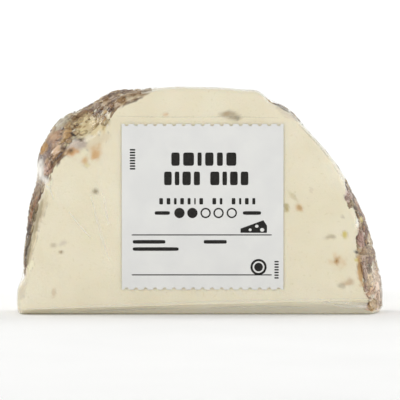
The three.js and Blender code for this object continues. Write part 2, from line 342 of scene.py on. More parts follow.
# x and z of the middle, length and width, turn from level, tone and strength at the middle
FRONT_BITS = [
    (10.3, 66.4, 7.4, 3.6, -8, "grey", 0.62),
    (12.6, 65.4, 1.9, 1.7, 0, "dark", 0.5),
    (8.6, 67.0, 2.6, 1.6, 20, "tan", 0.35),
    (-11.5, 66.7, 2.8, 2.0, 0, "amber", 0.62),
    (-41.8, 57.6, 8.6, 7.6, 20, "lilac", 0.95),
    (-41.2, 58.9, 3.9, 1.7, -30, "dark", 1.0),
    (-43.6, 60.2, 2.6, 1.2, -40, "dark", 0.8),
    (-42.9, 54.3, 5.8, 4.8, -10, "amber", 0.95),
    (-43.4, 54.8, 3.8, 2.5, 0, "brown", 0.72),
    (-43.0, 54.8, 1.2, 1.0, 10, "dark", 0.6),
    (-34.7, 54.0, 4.8, 7.2, -22, "honey", 0.69),
    (-35.0, 53.3, 3.4, 4.8, -15, "amber", 0.65),
    (-38.4, 51.4, 3.8, 2.9, 15, "honey", 0.69),
    (-38.5, 51.6, 2.2, 1.8, 15, "amber", 0.4),
    (-37.6, 49.8, 2.2, 1.6, 0, "yellow", 0.35),
    (-34.8, 41.2, 3.3, 2.0, 25, "grey", 0.85),
    (-46.3, 21.0, 1.8, 1.6, 0, "brown", 0.7),
    (-45.6, 23.9, 3.4, 2.0, 30, "lilac", 0.4),
    (-49.0, 23.1, 2.4, 1.8, 0, "grey", 0.4),
    (-48.7, 7.4, 1.7, 4.0, 0, "tan", 0.4),
    (28.8, 35.5, 2.2, 3.4, 15, "olive", 0.69),
    (32.9, 35.9, 4.0, 3.0, -45, "honey", 0.69),
    (32.9, 36.0, 2.6, 1.6, -50, "tan", 0.65),
    (31.2, 39.3, 6.0, 1.6, -50, "olive", 0.3),
    (36.9, 41.6, 1.0, 2.6, 0, "#cbb9a4", 0.4),
    (47.4, 32.8, 1.6, 1.4, 0, "grey", 0.5),
    (43.2, 26.0, 4.4, 1.9, 10, "grey", 0.5),
    (48.0, 26.6, 2.1, 3.2, 0, "yellow", 0.8),
    (45.5, 17.9, 6.4, 5.8, 0, "honey", 0.5),
    (45.4, 18.0, 3.0, 3.6, 15, "tan", 0.95),
    (49.2, 11.0, 5.0, 2.8, 14, "tan", 0.6),
    (46.9, 9.6, 3.0, 2.2, 0, "grey", 0.5),
    (52.0, 21.0, 1.9, 1.2, -40, "dark", 0.9),
    (51.9, 18.2, 1.7, 1.6, 0, "yellow", 0.8),
]
BACK_BIT_COUNT = 46
draw = np.random.default_rng(4)
back_bits = []
for _ in range(BACK_BIT_COUNT):
    turned, reach = draw.uniform(0, math.pi), draw.uniform(0.1, 0.9) ** 0.5
    size = 1.6 + 4.4 * draw.uniform() ** 2
    tone = draw.choice(["amber", "honey", "honey", "grey", "tan", "brown", "yellow", "lilac"])
    back_bits.append((
        55 * reach * math.cos(turned), 4 + 64 * reach * math.sin(turned), size,
        size * draw.uniform(0.45, 0.85), draw.uniform(-90, 90), tone, draw.uniform(0.4, 0.9)))
print("bits in the cut faces:", len(FRONT_BITS), "and", len(back_bits))

# %% [markdown]
# The slope of the coat shows from the front too, and there each piece of walnut has its own colour:
# brown and mauve skins, cream flesh, amber where it is oily, and dark gaps, painted as shade. Among
# them lie a painted highlight where the film glints and a painted shadow line. They are laid down one
# by one as well, left flank first, each over those before it.

# %% Colours of the coat in front
# x and z of the middle, length and width as seen, turn from level, colour and strength
COAT_COLOURS_AND_PAINTED_LIGHT = [
    (-34.3, 57.9, 9.4, 3.4, 28, "#c6bca5", 0.95),
    (-41.3, 56.9, 7.4, 3.4, 25, "#b7aba0", 0.95),
    (-40.7, 58.8, 3.6, 1.3, -30, "#4c4434", 0.95),
    (-39.3, 58.5, 1.8, 0.9, 40, "#5a5142", 0.9),
    (-42.3, 60.0, 2.6, 1.0, -45, "#453d30", 0.95),
    (-52.2, 38.1, 12.7, 1.8, 68, "#e2d9c0", 0.9),
    (-55.6, 24.7, 17.4, 1.8, 80, "#d6ccb2", 0.9),
    (-56.7, 16.6, 4.7, 2.0, 82, "#dbd2ba", 0.9),
    (-53.6, 34.0, 18.0, 3.6, 73, "#b9af98", 0.85),
    (-54.6, 31.5, 16.0, 2.2, 76, "#948a74", 0.85),
    (-56.4, 22.4, 11.0, 2.2, 81, "#b0a68e", 0.85),
    (-57.2, 21.6, 10.0, 1.4, 82, "#7d745e", 0.85),
    (-27.4, 71.6, 12.0, 4.4, 24, "#ab9a83", 0.85),
    (-20.6, 73.4, 9.0, 2.6, 18, "#b3a792", 0.85),
    (-29.1, 72.1, 3.4, 1.7, 20, "#b9aa9c", 0.8),
    (-31.6, 71.6, 2.7, 2.0, 60, "#9c8468", 0.8),
    (-26.2, 71.5, 3.0, 2.7, 25, "#9a8264", 0.9),
    (-21.5, 74.0, 5.4, 2.3, 12, "#a28e74", 0.85),
    (-17.8, 75.2, 4.7, 1.3, 8, "#a39386", 0.7),
    (-18.5, 73.8, 4.0, 1.2, 12, "#84705a", 0.8),
    (-17.6, 75.0, 5.0, 2.0, 8, "#b4ad9e", 0.9),
    (-21.4, 71.6, 4.6, 1.0, 27, "#5d4c39", 0.9),
    # Painted shade: the dark gap between two pieces at the top left
    (-29.2, 71.2, 5.7, 0.7, 31, "#5d4b38", 0.85),
    # Painted shadow along an edge of the coat at the top left
    (-24.6, 70.6, 3.0, 0.7, 40, "#5d4b38", 0.7),
    (-29.6, 69.4, 2.7, 1.5, 25, "#937a5f", 0.85),
    (-34.8, 69.7, 2.3, 2.0, 30, "#a3948a", 0.85),
    (-33.6, 67.9, 2.0, 1.3, 45, "#66523b", 0.9),
    (-37.6, 69.3, 4.0, 1.0, 25, "#9c8e88", 0.7),
    (-39.6, 67.1, 6.0, 2.0, 25, "#927a5c", 0.9),
    (-37.0, 66.7, 3.0, 2.0, 20, "#a08a6c", 0.85),
    (-42.2, 65.9, 2.4, 1.8, 40, "#927a5a", 0.9),
    (-44.0, 57.9, 2.2, 1.8, 0, "#a78d69", 0.95),
    (-37.0, 62.9, 12.1, 7.0, 5, "#c3b592", 0.95),
    (-40.5, 62.8, 4.7, 0.7, 4, "#86683f", 0.9),
    (-41.3, 64.4, 2.3, 0.6, 50, "#a58a5c", 0.6),
    (-36.8, 61.1, 2.0, 0.9, 75, "#84765a", 0.85),
    (-31.4, 65.9, 3.0, 0.9, 0, "#947b5f", 0.8),
    (-34.6, 64.6, 2.7, 0.6, -70, "#ab9a76", 0.6),
    (-32.3, 62.3, 2.3, 0.8, 70, "#a1926f", 0.7),
    (-39.0, 61.2, 3.4, 1.7, 0, "#d9c9a0", 0.6),
    (-46.4, 64.3, 7.0, 3.4, 45, "#aaa48b", 0.9),
    (-47.0, 65.1, 4.0, 1.3, 45, "#b6b3a8", 0.6),
    (-48.7, 61.2, 4.0, 1.3, 40, "#a39b79", 0.6),
    (-49.0, 59.2, 5.7, 4.4, 45, "#b08f6e", 0.95),
    (-45.0, 59.9, 6.0, 3.0, 62, "#b6986c", 0.9),
    (-43.8, 61.6, 3.4, 1.3, 75, "#9c7f5a", 0.7),
    (-45.3, 58.1, 2.3, 1.0, 45, "#b49a66", 0.7),
    (-44.8, 56.7, 1.7, 1.1, 0, "#dccfae", 0.9),
    (-52.6, 55.2, 5.0, 2.6, 65, "#ad8549", 0.95),
    (-52.2, 54.0, 1.7, 0.9, 60, "#8a6d40", 0.7),
    (-48.2, 54.5, 6.7, 2.7, 75, "#b29370", 0.9),
    (-50.5, 54.7, 5.8, 1.3, 80, "#6b5234", 0.95),
    (-46.7, 52.7, 6.4, 2.3, 54, "#957b58", 0.95),
    (-46.5, 53.6, 5.6, 0.8, 49, "#574429", 0.95),
    (-46.7, 51.7, 5.0, 0.8, 56, "#5a472e", 0.95),
    (-48.9, 50.2, 3.6, 0.7, 62, "#6a553b", 0.85),
    (-44.9, 53.1, 2.6, 0.6, 52, "#6a553b", 0.8),
    (-51.4, 50.5, 2.7, 1.3, 90, "#b8957a", 0.8),
    (-50.2, 50.3, 3.0, 1.1, 85, "#c4a892", 0.8),
    (-51.6, 48.3, 3.4, 2.2, -60, "#c6aa9c", 0.9),
    (-49.7, 48.5, 3.0, 0.9, 65, "#a07c70", 0.85),
    # Painted highlight: the white glint of the film on the left flank, in these two, laid on the coat
    # under it
    (-53.7, 48.5, 6.7, 1.7, 84, "#f0f2f2", 0.9),
    (-52.1, 45.5, 3.2, 2.2, -40, "#e4e4dc", 0.9),
    (-54.2, 41.3, 4.0, 1.9, 70, "#978b7b", 0.9),
    (-52.2, 42.1, 4.7, 1.5, 65, "#c6bca8", 0.85),
    (-55.2, 37.6, 4.6, 1.3, 75, "#94683f", 0.9),
    (-56.2, 37.1, 4.0, 0.7, 78, "#6b5a48", 0.8),
    (-54.4, 38.1, 4.0, 0.7, 72, "#8a7868", 0.7),
    (-56.7, 33.0, 4.6, 1.1, 80, "#99693e", 0.9),
    (-55.6, 32.7, 6.0, 1.2, 78, "#685d40", 0.9),
    (-57.3, 27.7, 6.6, 1.7, 80, "#4f4636", 0.95),
    (-56.6, 28.4, 4.0, 0.8, 80, "#84775d", 0.7),
    (-58.1, 21.7, 9.0, 1.5, 85, "#625a4a", 0.9),
    (-60.1, 9.3, 13.4, 4.0, 80, "#bfb8a6", 0.95),
    (49.9, 39.4, 4.7, 2.2, -60, "#b8a5a0", 0.95),
    (49.0, 38.7, 3.2, 2.0, -60, "#b5a29c", 0.95),
    (50.7, 37.1, 3.4, 1.3, -65, "#b3ac94", 0.85),
    (51.3, 38.0, 2.0, 0.7, -80, "#5b5142", 0.85),
    (52.8, 36.8, 3.4, 1.3, -60, "#bba192", 0.8),
    (53.3, 35.1, 3.0, 1.3, -65, "#9f7d6e", 0.85),
    (54.6, 33.4, 3.4, 1.0, -65, "#aa9080", 0.7),
    (54.0, 31.5, 2.3, 1.3, -75, "#cabd74", 0.9),
    (52.7, 31.1, 3.0, 1.1, -80, "#e6dacf", 0.9),
    (55.3, 30.7, 3.4, 0.9, -68, "#b09c8c", 0.7),
    (53.7, 26.0, 7.0, 2.9, -82, "#ac9088", 0.95),
    (53.3, 28.4, 2.7, 1.7, -70, "#ae9e8e", 0.8),
    (55.7, 26.7, 4.7, 0.9, -76, "#7c5a50", 0.9),
    (57.2, 24.4, 4.7, 1.7, -75, "#dccab3", 0.85),
    (54.9, 21.0, 5.0, 2.7, 0, "#ae9a80", 0.95),
    (54.8, 19.4, 5.0, 1.4, 0, "#a08c78", 0.9),
    (57.1, 18.1, 3.4, 2.3, -70, "#93786c", 0.9),
    (58.6, 17.3, 2.7, 1.0, -76, "#a8907f", 0.7),
    (56.7, 15.0, 3.7, 1.6, -85, "#7f7464", 0.95),
    (58.1, 16.0, 3.4, 1.0, -80, "#eaddc5", 0.7),
    (53.4, 14.3, 9.4, 2.2, -85, "#ae8d65", 0.95),
    (55.2, 14.4, 9.4, 1.8, -83, "#c3b2a8", 0.95),
    (57.3, 11.3, 3.4, 4.0, 0, "#d6c09c", 1.0),
    (57.5, 8.4, 3.4, 1.5, 5, "#cfae8c", 0.9),
    (56.6, 6.6, 4.2, 3.6, 0, "#c9b09c", 0.9),
    (55.3, 8.9, 3.0, 1.3, -80, "#b79a90", 0.85),
    (57.3, 6.1, 3.4, 1.3, 0, "#e1d8cc", 0.8),
    (57.3, 2.9, 4.4, 4.0, 0, "#c6b294", 0.9),
    (56.3, 4.6, 1.3, 0.9, 0, "#6f6248", 0.8),
    (58.6, 3.7, 1.0, 1.0, 0, "#8b7350", 0.7),
    (57.6, 1.4, 2.0, 1.0, 0, "#ac8c64", 0.7),
    (55.5, 2.2, 3.0, 1.3, -70, "#cdb3a4", 0.8),
    (59.6, 8.6, 15.4, 2.8, -86, "#d3c0b0", 0.95),
    (60.7, 5.8, 2.0, 0.7, 90, "#8f8575", 0.8),
    (59.1, 12.6, 5.4, 1.0, -85, "#cebca2", 0.6),
    (28.6, 67.9, 7.4, 3.0, -38, "#bdb5a8", 0.6),
    (27.7, 69.0, 6.0, 1.0, -30, "#5f574b", 0.95),
    (31.4, 65.9, 4.4, 0.8, -48, "#8d8478", 0.8),
]
# Painted reflection: grey lines where the film turns over the edge at the upper right and is seen edge-on,
# as above; they end just behind it
PAINTED_RIM_REFLECTIONS = [
    (36.6, 60.1, 9.0, 1.1, -47, "#a3a08c", 0.75),
    (41.8, 54.3, 9.0, 1.1, -51, "#a3a08c", 0.75),
    (46.1, 48.3, 9.0, 1.2, -57, "#b3ad9c", 0.6),
]
print("patches of colour on the coat:", len(COAT_COLOURS_AND_PAINTED_LIGHT), "and on its rim:", len(PAINTED_RIM_REFLECTIONS))

# %% [markdown]
# ## The paste
# Soft cheese keeps the shape that the knife and the film give it. One closed surface carries all of
# it: the flat cut face, the bevel that the film presses along its lower edge, the coated arch and the
# flat base. The arch is rough, because fine walnut meal sticks to it between the larger pieces, except
# along the top and the upper right, where the cheese is bare in front. A number on each point says how
# much meal lies there, and a colour says how oil from the bits of walnut has stained a face, so that
# the material can follow both.

# %% The slice as a grid
def slice_grid(columns, face_rows, edge_rows, rim_rows):
    """The slice's surface with its normals, the share of the thickness at each point, and how many
    mm each point of a face lies in from its edge."""
    outs, shares = section(face_rows, edge_rows, rim_rows)
    rings = slice_rings(crowded_turns(columns), outs, shares)
    away = np.hypot(rings[..., 0], rings[..., 2] - EYE_HEIGHT)
    return rings, ring_normals(rings), np.broadcast_to(shares, away.shape), away * (1 / outs - 1)


# %% Where walnuts cover the coat
# First and last angle in degrees of each bare part of the coat, and the share at which its nuts begin
BARE_PARTS = [
    (-9, 7, 0.12), (29, 32.5, 0.08), (41, 62, 0.73), (62, 69.5, 0.34), (69.5, 104.5, 0.78),
    (118, 128, 0.08), (140.5, 166, 0.1), (167, 190, 0.7)]


def nuttiness(angle, share):
    """1 where walnuts cover the coat, and 0 where the cheese is bare: the front half of the top and
    of the upper right, the left foot, and a few places along the cut face, with uneven borders."""
    spot = np.stack(np.broadcast_arrays(angle * 1.2, share * THICKNESS, 0 * angle), axis=-1)
    angle = angle + 3 * noise(spot, 7, 11)
    uneven = 1 + 0.2 * noise(spot, 5, 12)
    covered = 1.0
    for low, high, start in BARE_PARTS:
        within = ease(angle, low - 1.5, low + 1.5) * (1 - ease(angle, high - 1.5, high + 1.5))
        covered = covered * (1 - within * (1 - ease(share * uneven, start - 0.02, start + 0.04)))
    return covered


def meal_on(rings, share, inward):
    """Walnut meal: 1 on the nutty coat, 0 on the faces and the base, with ragged borders."""
    angle = np.degrees(np.arctan2(rings[..., 2], rings[..., 0]))
    rough = noise(rings, 2.2, 3) + 0.5 * noise(rings, 0.9, 4)
    over_edge = ease(0.35 + 0.4 * rough - inward, 0, 0.3)
    above_base = ease(rings[..., 2] - base_lift(rings[..., 0], share), 0.5, 2.0)
    return over_edge * above_base * nuttiness(angle, share)


# %% Colours seen through the film
FILM_VEIL = np.array([0.04, 0.045, 0.05])
COAT_DIMMING = 0.68
FACE_DIMMING = 0.9
STAIN_CORE = 0.25
PATCH_CORE = 0.75


def under_film(code, dimming):
    """The linear colour below the film that looks like an sRGB colour above it: less the film's own
    pale veil, and brighter by what the film, the gaps and the wrinkles take away."""
    return np.clip((np.array(linear(code)[:3]) - FILM_VEIL) / dimming, 0.01, 0.92)


def stains_on(points, stains, core, dimming, under=None):
    """Colour and strength of the stains at each point, as seen from the front. Each is an ellipse,
    full up to core of the way out and then fading, with a border that noise makes uneven, and is
    laid over those before it."""
    uneven = 0.3 * noise(points, 1.6, 41) + 0.2 * noise(points, 0.8, 42)
    total = np.zeros((*points.shape[:-1], 4)) if under is None else under.copy()
    for x, z, length, width, turned, tone, strength in stains:
        cosine, sine = math.cos(math.radians(turned)), math.sin(math.radians(turned))
        across, up = points[..., 0] - x, points[..., 2] - z
        along, aside = across * cosine + up * sine, up * cosine - across * sine
        out = np.hypot(2 * along / length, 2 * aside / width)
        part = strength * (1 - ease(out + uneven, core, 1.15))
        both = part + total[..., 3] * (1 - part)
        new = (part / np.maximum(both, 1e-6))[..., None]
        total[..., :3] = total[..., :3] * (1 - new) + under_film(TONES.get(tone, tone), dimming) * new
        total[..., 3] = both
    return total


def patches_on(points):
    """Colours of the coat in front, painted highlight and shadow among them, with their strength,
    which fades out towards the back, and much sooner for the painted reflection on the rim."""
    share = points[..., 1] / THICKNESS
    patches = stains_on(points, COAT_COLOURS_AND_PAINTED_LIGHT, PATCH_CORE, COAT_DIMMING)
    patches[..., 3] *= 1 - ease(share, 0.62, 0.78)
    # The painted reflection on the rim fades out just behind the cut face
    rim = stains_on(points, PAINTED_RIM_REFLECTIONS, PATCH_CORE, COAT_DIMMING)
    rim[..., 3] *= 1 - ease(share, 0.03, 0.12)
    return np.where(rim[..., 3:] > 0.02, rim, patches)


# %% Paste
PASTE_COLUMNS = 480
PASTE_UNDER_SURFACE = 0.22
PASTE_UNDER_BASE = 0.15
rings, normals, share, inward = slice_grid(PASTE_COLUMNS, 90, 6, 52)
meal = meal_on(rings, share, inward)
back_stain = stains_on(rings, back_bits, STAIN_CORE, FACE_DIMMING)
# On the coat this colour is the coat's own, with a painted highlight, shadow and reflection among it
stain_and_coat_colour = np.where((share > 0.98)[..., None], back_stain, patches_on(rings))
front_stain = stains_on(rings, FRONT_BITS, STAIN_CORE, FACE_DIMMING, stain_and_coat_colour)
stain_and_coat_colour = np.where((share < 0.02)[..., None], front_stain, stain_and_coat_colour)
is_base = ease(-normals[..., 2], 0.6, 0.95)
lumps = 0.3 * noise(rings, 1.7, 5) + 0.16 * noise(rings, 0.8, 6)
waves = 0.07 * noise(rings, 16, 1) + 0.03 * noise(rings, 5, 2)
sink = PASTE_UNDER_SURFACE + (PASTE_UNDER_BASE - PASTE_UNDER_SURFACE) * is_base
sink = sink - (1 - is_base) * (waves + meal * (lumps - 0.15))
# Painted shade: the coat away from the cut faces is greyed, which takes down the light its curve catches
painted_coat_shade = ease(np.minimum(share, 1 - share) * THICKNESS, 0.1, 1.5) * (1 - is_base)
paste = add_skins(
    "cheese_paste", (rings - sink[..., None] * normals)[None],
    {"meal": meal, "stain_and_coat_colour": stain_and_coat_colour, "painted_coat_shade": painted_coat_shade})
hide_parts("wrapped_cheese")

# %% [markdown]
# ## Walnut pieces
# A walnut kernel is folded like a brain, with a thin brown skin, and it breaks into pieces with flat
# cream-coloured faces. So each piece starts as a ball on a grid, flattened on top, where the film
# presses it. Narrow grooves are cut where a noise field passes through zero, which gives winding
# folds, and planes cut it off where it broke: four round its sides, and one across the top of a piece
# that has lost its skin. The result is scaled to the piece's length, width and height, turned, and set
# into the coat.
#
# One function makes any number of pieces at once, because a whole coat of them is one array.

# %% Kernel shapes
FLATNESS = 0.65
BARE = 0.25


def kernel_rings(sizes, seeds, bare, rows, columns, fold):
    """Broken kernels, one for each row of sizes in mm: balls whose third coordinate is raised to a
    power below 1, so that the top is flat, and whose radius drops in grooves and fine wrinkles,
    cut by planes. bare is the share of the skin that has come off. Returns the rings, and three
    values for the material: how much painted shade darkens each point, in a groove or low on the
    piece, how much bare flesh shows there, and the point's place on its own kernel."""
    down = np.linspace(0, math.pi, rows + 2)[1:-1, None]
    around = np.linspace(0, 2 * math.pi, columns, endpoint=False)[None, :]
    ball = np.stack([
        np.cos(down) + 0 * around, -np.sin(down) * np.cos(around), np.sin(down) * np.sin(around)], -1)
    spots = ball[None] + seeds[:, None, None, None] * np.array([7.31, 3.77, 5.13])
    bent = spots + 0.2 * noise(spots, 0.5, 21)[..., None]
    groove = np.exp(-(noise(bent, fold, 22) / 0.2) ** 2)
    wrinkle = np.exp(-(noise(bent, fold * 0.45, 27) / 0.25) ** 2)
    lump = 0.1 * noise(spots, 0.8, 23) - 0.14 * groove - 0.05 * wrinkle
    top = np.sign(ball[..., 2:]) * np.abs(ball[..., 2:]) ** FLATNESS
    body = np.concatenate([ball[..., :2], top], axis=-1) * (0.95 + lump)[..., None]
    patches = noise(spots, 0.8, 28) + 0.6 * noise(spots, 0.3, 29)
    flesh = ease(patches + 2.4 * bare[:, None, None], 1.05, 1.25)
    for cut in range(5):
        picks = np.random.default_rng(100 + cut).uniform(-1, 1, (4096, 3))[seeds.astype(int) % 4096]
        turned = seeds * 2.4 + (cut + 0.35 * picks[:, 0]) * math.pi / 2
        facing = np.stack([np.cos(turned), np.sin(turned), 0.25 * picks[:, 1]], axis=-1)
        limit = 0.76 + 0.14 * picks[:, 2]
        if cut == 4:
            facing = np.stack([0.35 * picks[:, 0], 0.35 * picks[:, 1], np.ones(len(seeds))], axis=-1)
            limit = np.where(bare > BARE, 0.66 + 0.1 * picks[:, 2], WIDTH)
        facing = (facing / np.linalg.norm(facing, axis=1, keepdims=True))[:, None, None, :]
        past = (body * facing).sum(-1) - limit[:, None, None] - 0.05 * noise(spots, 0.22, 30 + cut)
        body = body - 0.92 * np.maximum(past, 0)[..., None] * facing
        flesh = np.maximum(flesh, ease(past, -0.01, 0.04) * (bare[:, None, None] > BARE))
    # Painted shade: darker in the grooves and wrinkles, and low on the piece where the coat around it
    # shades it
    low = 1 - ease(body[..., 2], 0.1, 0.6)
    dark = np.maximum(np.maximum(groove, 0.6 * wrinkle), low) * (1 - 0.6 * flesh)
    half = (sizes / 2)[:, None, None, :]
    own = (ball[None] * half + seeds[:, None, None, None] * 17.0) * MM
    return body * half, {"dark": dark, "flesh": flesh, "own": own}


def set_in(rings, axes, places):
    """Turn pieces from their own axes into the slice's frame and move them to their places."""
    return np.einsum("nrck,nkj->nrcj", rings, axes) + places[:, None, None, :]


def coat_axes(angle, share, turn):
    """Place on the coat and three axes there: along the arch, across it and straight out. turn
    swings the first two about the third, in degrees."""
    def spot(angle, share):
        radius = arch_radius(angle) - coat_inset(angle, share)
        turned = np.radians(angle)
        return np.stack([radius * np.cos(turned), share * THICKNESS, radius * np.sin(turned)], -1)

    along = spot(angle + 2, share) - spot(angle - 2, share)
    along /= np.linalg.norm(along, axis=-1, keepdims=True)
    across = spot(angle, share - 0.04) - spot(angle, share + 0.04)
    out = np.cross(along, across)
    out /= np.linalg.norm(out, axis=-1, keepdims=True)
    across = np.cross(out, along)
    swing = np.radians(turn)[..., None]
    first = np.cos(swing) * along + np.sin(swing) * across
    return spot(angle, share), np.stack([first, np.cross(out, first), out], axis=-2)


# %% [markdown]
# The large pieces are nodes of the model, so each one here takes its place, its axes and its size from
# its node: the node's points are seen along the coat's own axes, and the longest direction among them
# is the piece's length.

# %% Large walnut pieces
SKIN_TONES = ["#8a6c50", "#77593f", "#9b7a5b", "#87695a", "#a3845f", "#7e6450"]
SMEARED = "#ddd3b6"
# Bare share of the ten pieces that show, from the left foot to the right one
SHOWN_BARE = [0.2, 0.1, 0.1, 0.1, 1.0, 0.1, 0.0, 0.0, 0.1, 0.4]


def most_proud(share):
    """How far in mm a piece may stand out of the coat: less near the widest ring, where the film is
    drawn tightest, so that the outline stays smooth."""
    return 0.6 - 0.35 * np.exp(-0.5 * ((share - 0.5) / 0.14) ** 2)


# %% Place, axes and size of each large piece
LARGE_SINK = 0.85
LARGE_SWELL = 1.06
node_names = sorted(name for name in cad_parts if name.startswith("walnut_"))


def node_points(name):
    """The points of a node of the model, in mm in the slice's own frame."""
    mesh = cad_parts[name].data
    flat = np.zeros(len(mesh.vertices) * 3)
    mesh.vertices.foreach_get("co", flat)
    return from_frame(flat.reshape(-1, 3))


def fit_piece(points):
    """Middle, axes and size of a large piece, from the points of its node."""
    middle = (points.min(0) + points.max(0)) / 2
    angle = np.degrees(np.arctan2(middle[2], middle[0]))
    _, axes = coat_axes(angle, middle[1] / THICKNESS, np.array(0.0))
    flat = (points - middle) @ axes.T
    _, ways = np.linalg.eigh(np.cov(flat[:, :2].T))
    turn = np.degrees(np.arctan2(ways[1, 1], ways[0, 1]))
    _, axes = coat_axes(angle, middle[1] / THICKNESS, turn)
    local = (points - middle) @ axes.T
    return middle, axes, local.max(0) - local.min(0)


# %% Tones
def paint(values, shapes, tones):
    """Give each body its tone, and lay the colours of the coat in front over it: these hold a
    painted highlight, a painted shadow and a painted reflection.
    """
    colours = np.array([(*tone, 1) if len(tone) == 3 else linear(tone) for tone in tones])[:, None, None]
    patches = patches_on(shapes)
    part = patches[..., 3:].copy()
    patches[..., 3] = 1
    values["tone"] = colours * (1 - part) + patches * part
    values["flesh"] = values["flesh"] * (1 - part[..., 0])
    # Less painted shade where the coat's colours are laid on
    values["dark"] = values["dark"] * (1 - 0.45 * part[..., 0])
    return values


# %% Large pieces
LARGE_ROWS, LARGE_COLUMNS = 60, 84
fits = [fit_piece(node_points(name)) for name in node_names]
large_places = np.array([fit[0] for fit in fits])
large_axes = np.array([fit[1] for fit in fits])
large_sizes = np.array([fit[2] for fit in fits]) * LARGE_SWELL
large_angles = np.degrees(np.arctan2(large_places[:, 2], large_places[:, 0]))
large_shares = large_places[:, 1] / THICKNESS
coat_spots, _ = coat_axes(large_angles, large_shares, 0 * large_angles)
proud = ((large_places - coat_spots) * large_axes[:, 2]).sum(-1) + large_sizes[:, 2] / 2
too_proud = np.maximum(proud - most_proud(large_shares), 0)
large_places = large_places - large_axes[:, 2] * LARGE_SINK * too_proud[:, None]
is_smeared = nuttiness(large_angles, large_shares) < 0.6
bare = np.where(is_smeared, 1.0, np.array(SHOWN_BARE + [0.15] * (len(fits) - len(SHOWN_BARE))))
tones = [SMEARED if smeared else SKIN_TONES[i % len(SKIN_TONES)] for i, smeared in enumerate(is_smeared)]
shapes, values = kernel_rings(
    large_sizes, np.arange(len(fits)) + 1.0, bare, LARGE_ROWS, LARGE_COLUMNS, 0.5)
shapes = set_in(shapes, large_axes, large_places)
paint(values, shapes, tones)
walnut_pieces = []
for index, name in enumerate(node_names):
    own_values = {label: array[index:index + 1] for label, array in values.items()}
    piece = add_skins("kernel_" + name[-2:], shapes[index:index + 1], own_values)
    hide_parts(name)
    walnut_pieces.append(piece)
print("large pieces:", len(fits), "of them smeared with cheese:", int(is_smeared.sum()))

# %% [markdown]
# Between the large pieces the coat is chopped walnut, pressed flat by the film. Some chips show plainly
# from the front and are listed one by one; the rest are thrown on by a seeded draw that keeps each clear
# of its neighbours. A second draw puts small chips along the border of the cut face, and a third fills
# in with crumbs. The listed chips have a finer grid. Of the others there are hundreds, too
# small for their folds to show, so a chip has 88 faces and a crumb 63.

# %% Chips that show
CHIP_TONES = SKIN_TONES + ["#c4a577", "#d6c096", "#b98f5c", "#cdb48a", "#a3856a"]
# x and z as seen from the front, size along the arch, seen size across it, and the bare share
SHOWN_CHIPS = [
    (49.9, 39.4, 4.4, 2.3, 0),
    (51.6, 36.1, 3.0, 2.0, 0),
    (53.4, 34.7, 3.0, 1.7, 0),
    (53.4, 31.4, 2.7, 2.3, 0.5),
    (53.7, 26.0, 6.7, 3.0, 0),
    (56.6, 25.4, 4.7, 2.0, 0.4),
    (54.9, 21.0, 2.7, 5.0, 0),
    (57.1, 18.0, 3.0, 2.7, 0),
    (56.7, 14.8, 3.0, 1.7, 0),
    (53.4, 14.3, 7.7, 1.7, 0),
    (57.5, 10.6, 4.4, 3.0, 0.4),
    (56.7, 6.6, 3.6, 3.2, 0.2),
    (55.2, 9.6, 3.4, 1.7, 0),
    (57.3, 3.1, 4.0, 4.0, 0.4),
    (59.8, 12.6, 6.0, 1.7, 0.2),
    (60.1, 5.6, 5.4, 1.7, 0),
    (-17.8, 74.8, 4.7, 2.0, 0),
    (-21.5, 73.7, 4.7, 2.3, 0),
    (-25.9, 71.0, 3.7, 2.3, 0),
    (-29.9, 69.3, 3.0, 1.7, 0),
    (-34.8, 69.7, 2.7, 2.3, 0),
    (-39.6, 67.4, 6.0, 2.7, 0),
    (-32.1, 64.3, 4.0, 4.7, 1),
    (-46.4, 64.3, 6.4, 4.0, 0),
    (-44.7, 59.6, 5.4, 3.0, 0),
    (-50.4, 49.5, 4.4, 2.7, 0),
    (-47.0, 52.2, 5.0, 2.0, 0),
    (-52.4, 54.9, 4.4, 2.0, 0),
    (-54.2, 41.5, 4.4, 2.0, 0),
    (-55.1, 37.1, 4.4, 2.0, 0),
    (-56.2, 32.7, 5.0, 2.0, 0),
    (-57.3, 27.4, 5.7, 2.0, 0),
    (-58.3, 21.3, 6.0, 1.3, 0),
]
print("chips placed by hand:", len(SHOWN_CHIPS))

# %% Where a chip lies
MOST_STRETCH = 2.2


def lie_seen_at(x, z, seen_width):
    """Angle and share at which the coat is seen at x, z from the front, and how wide a piece must
    be along the slope there to look seen_width wide."""
    angle = np.degrees(np.arctan2(z, x))
    shares = np.linspace(0.02, WIDEST, 60)
    radius = arch_radius(angle) - coat_inset(angle, shares)
    share = np.interp(np.hypot(x, z), radius, shares)
    slope = max(0.1, np.interp(share, shares, np.gradient(radius, shares * THICKNESS)))
    width = seen_width * min(MOST_STRETCH, math.hypot(1, 1 / slope))
    return angle, max(share, 0.4 * width / math.hypot(1, slope) / THICKNESS), width


def keep_clear(places, sizes, crowd, crowd_sizes, first_kept, room):
    """Indices of the pieces that lie clear of the crowd and of each other, first come first."""
    taken, reach, kept = list(crowd), list(crowd_sizes), []
    for index, (place, size) in enumerate(zip(places, sizes)):
        away = np.linalg.norm(np.array(taken) - place, axis=1)
        if index < first_kept or np.all(away > room * (np.array(reach) + size)):
            taken.append(place)
            reach.append(size)
            kept.append(index)
    return kept


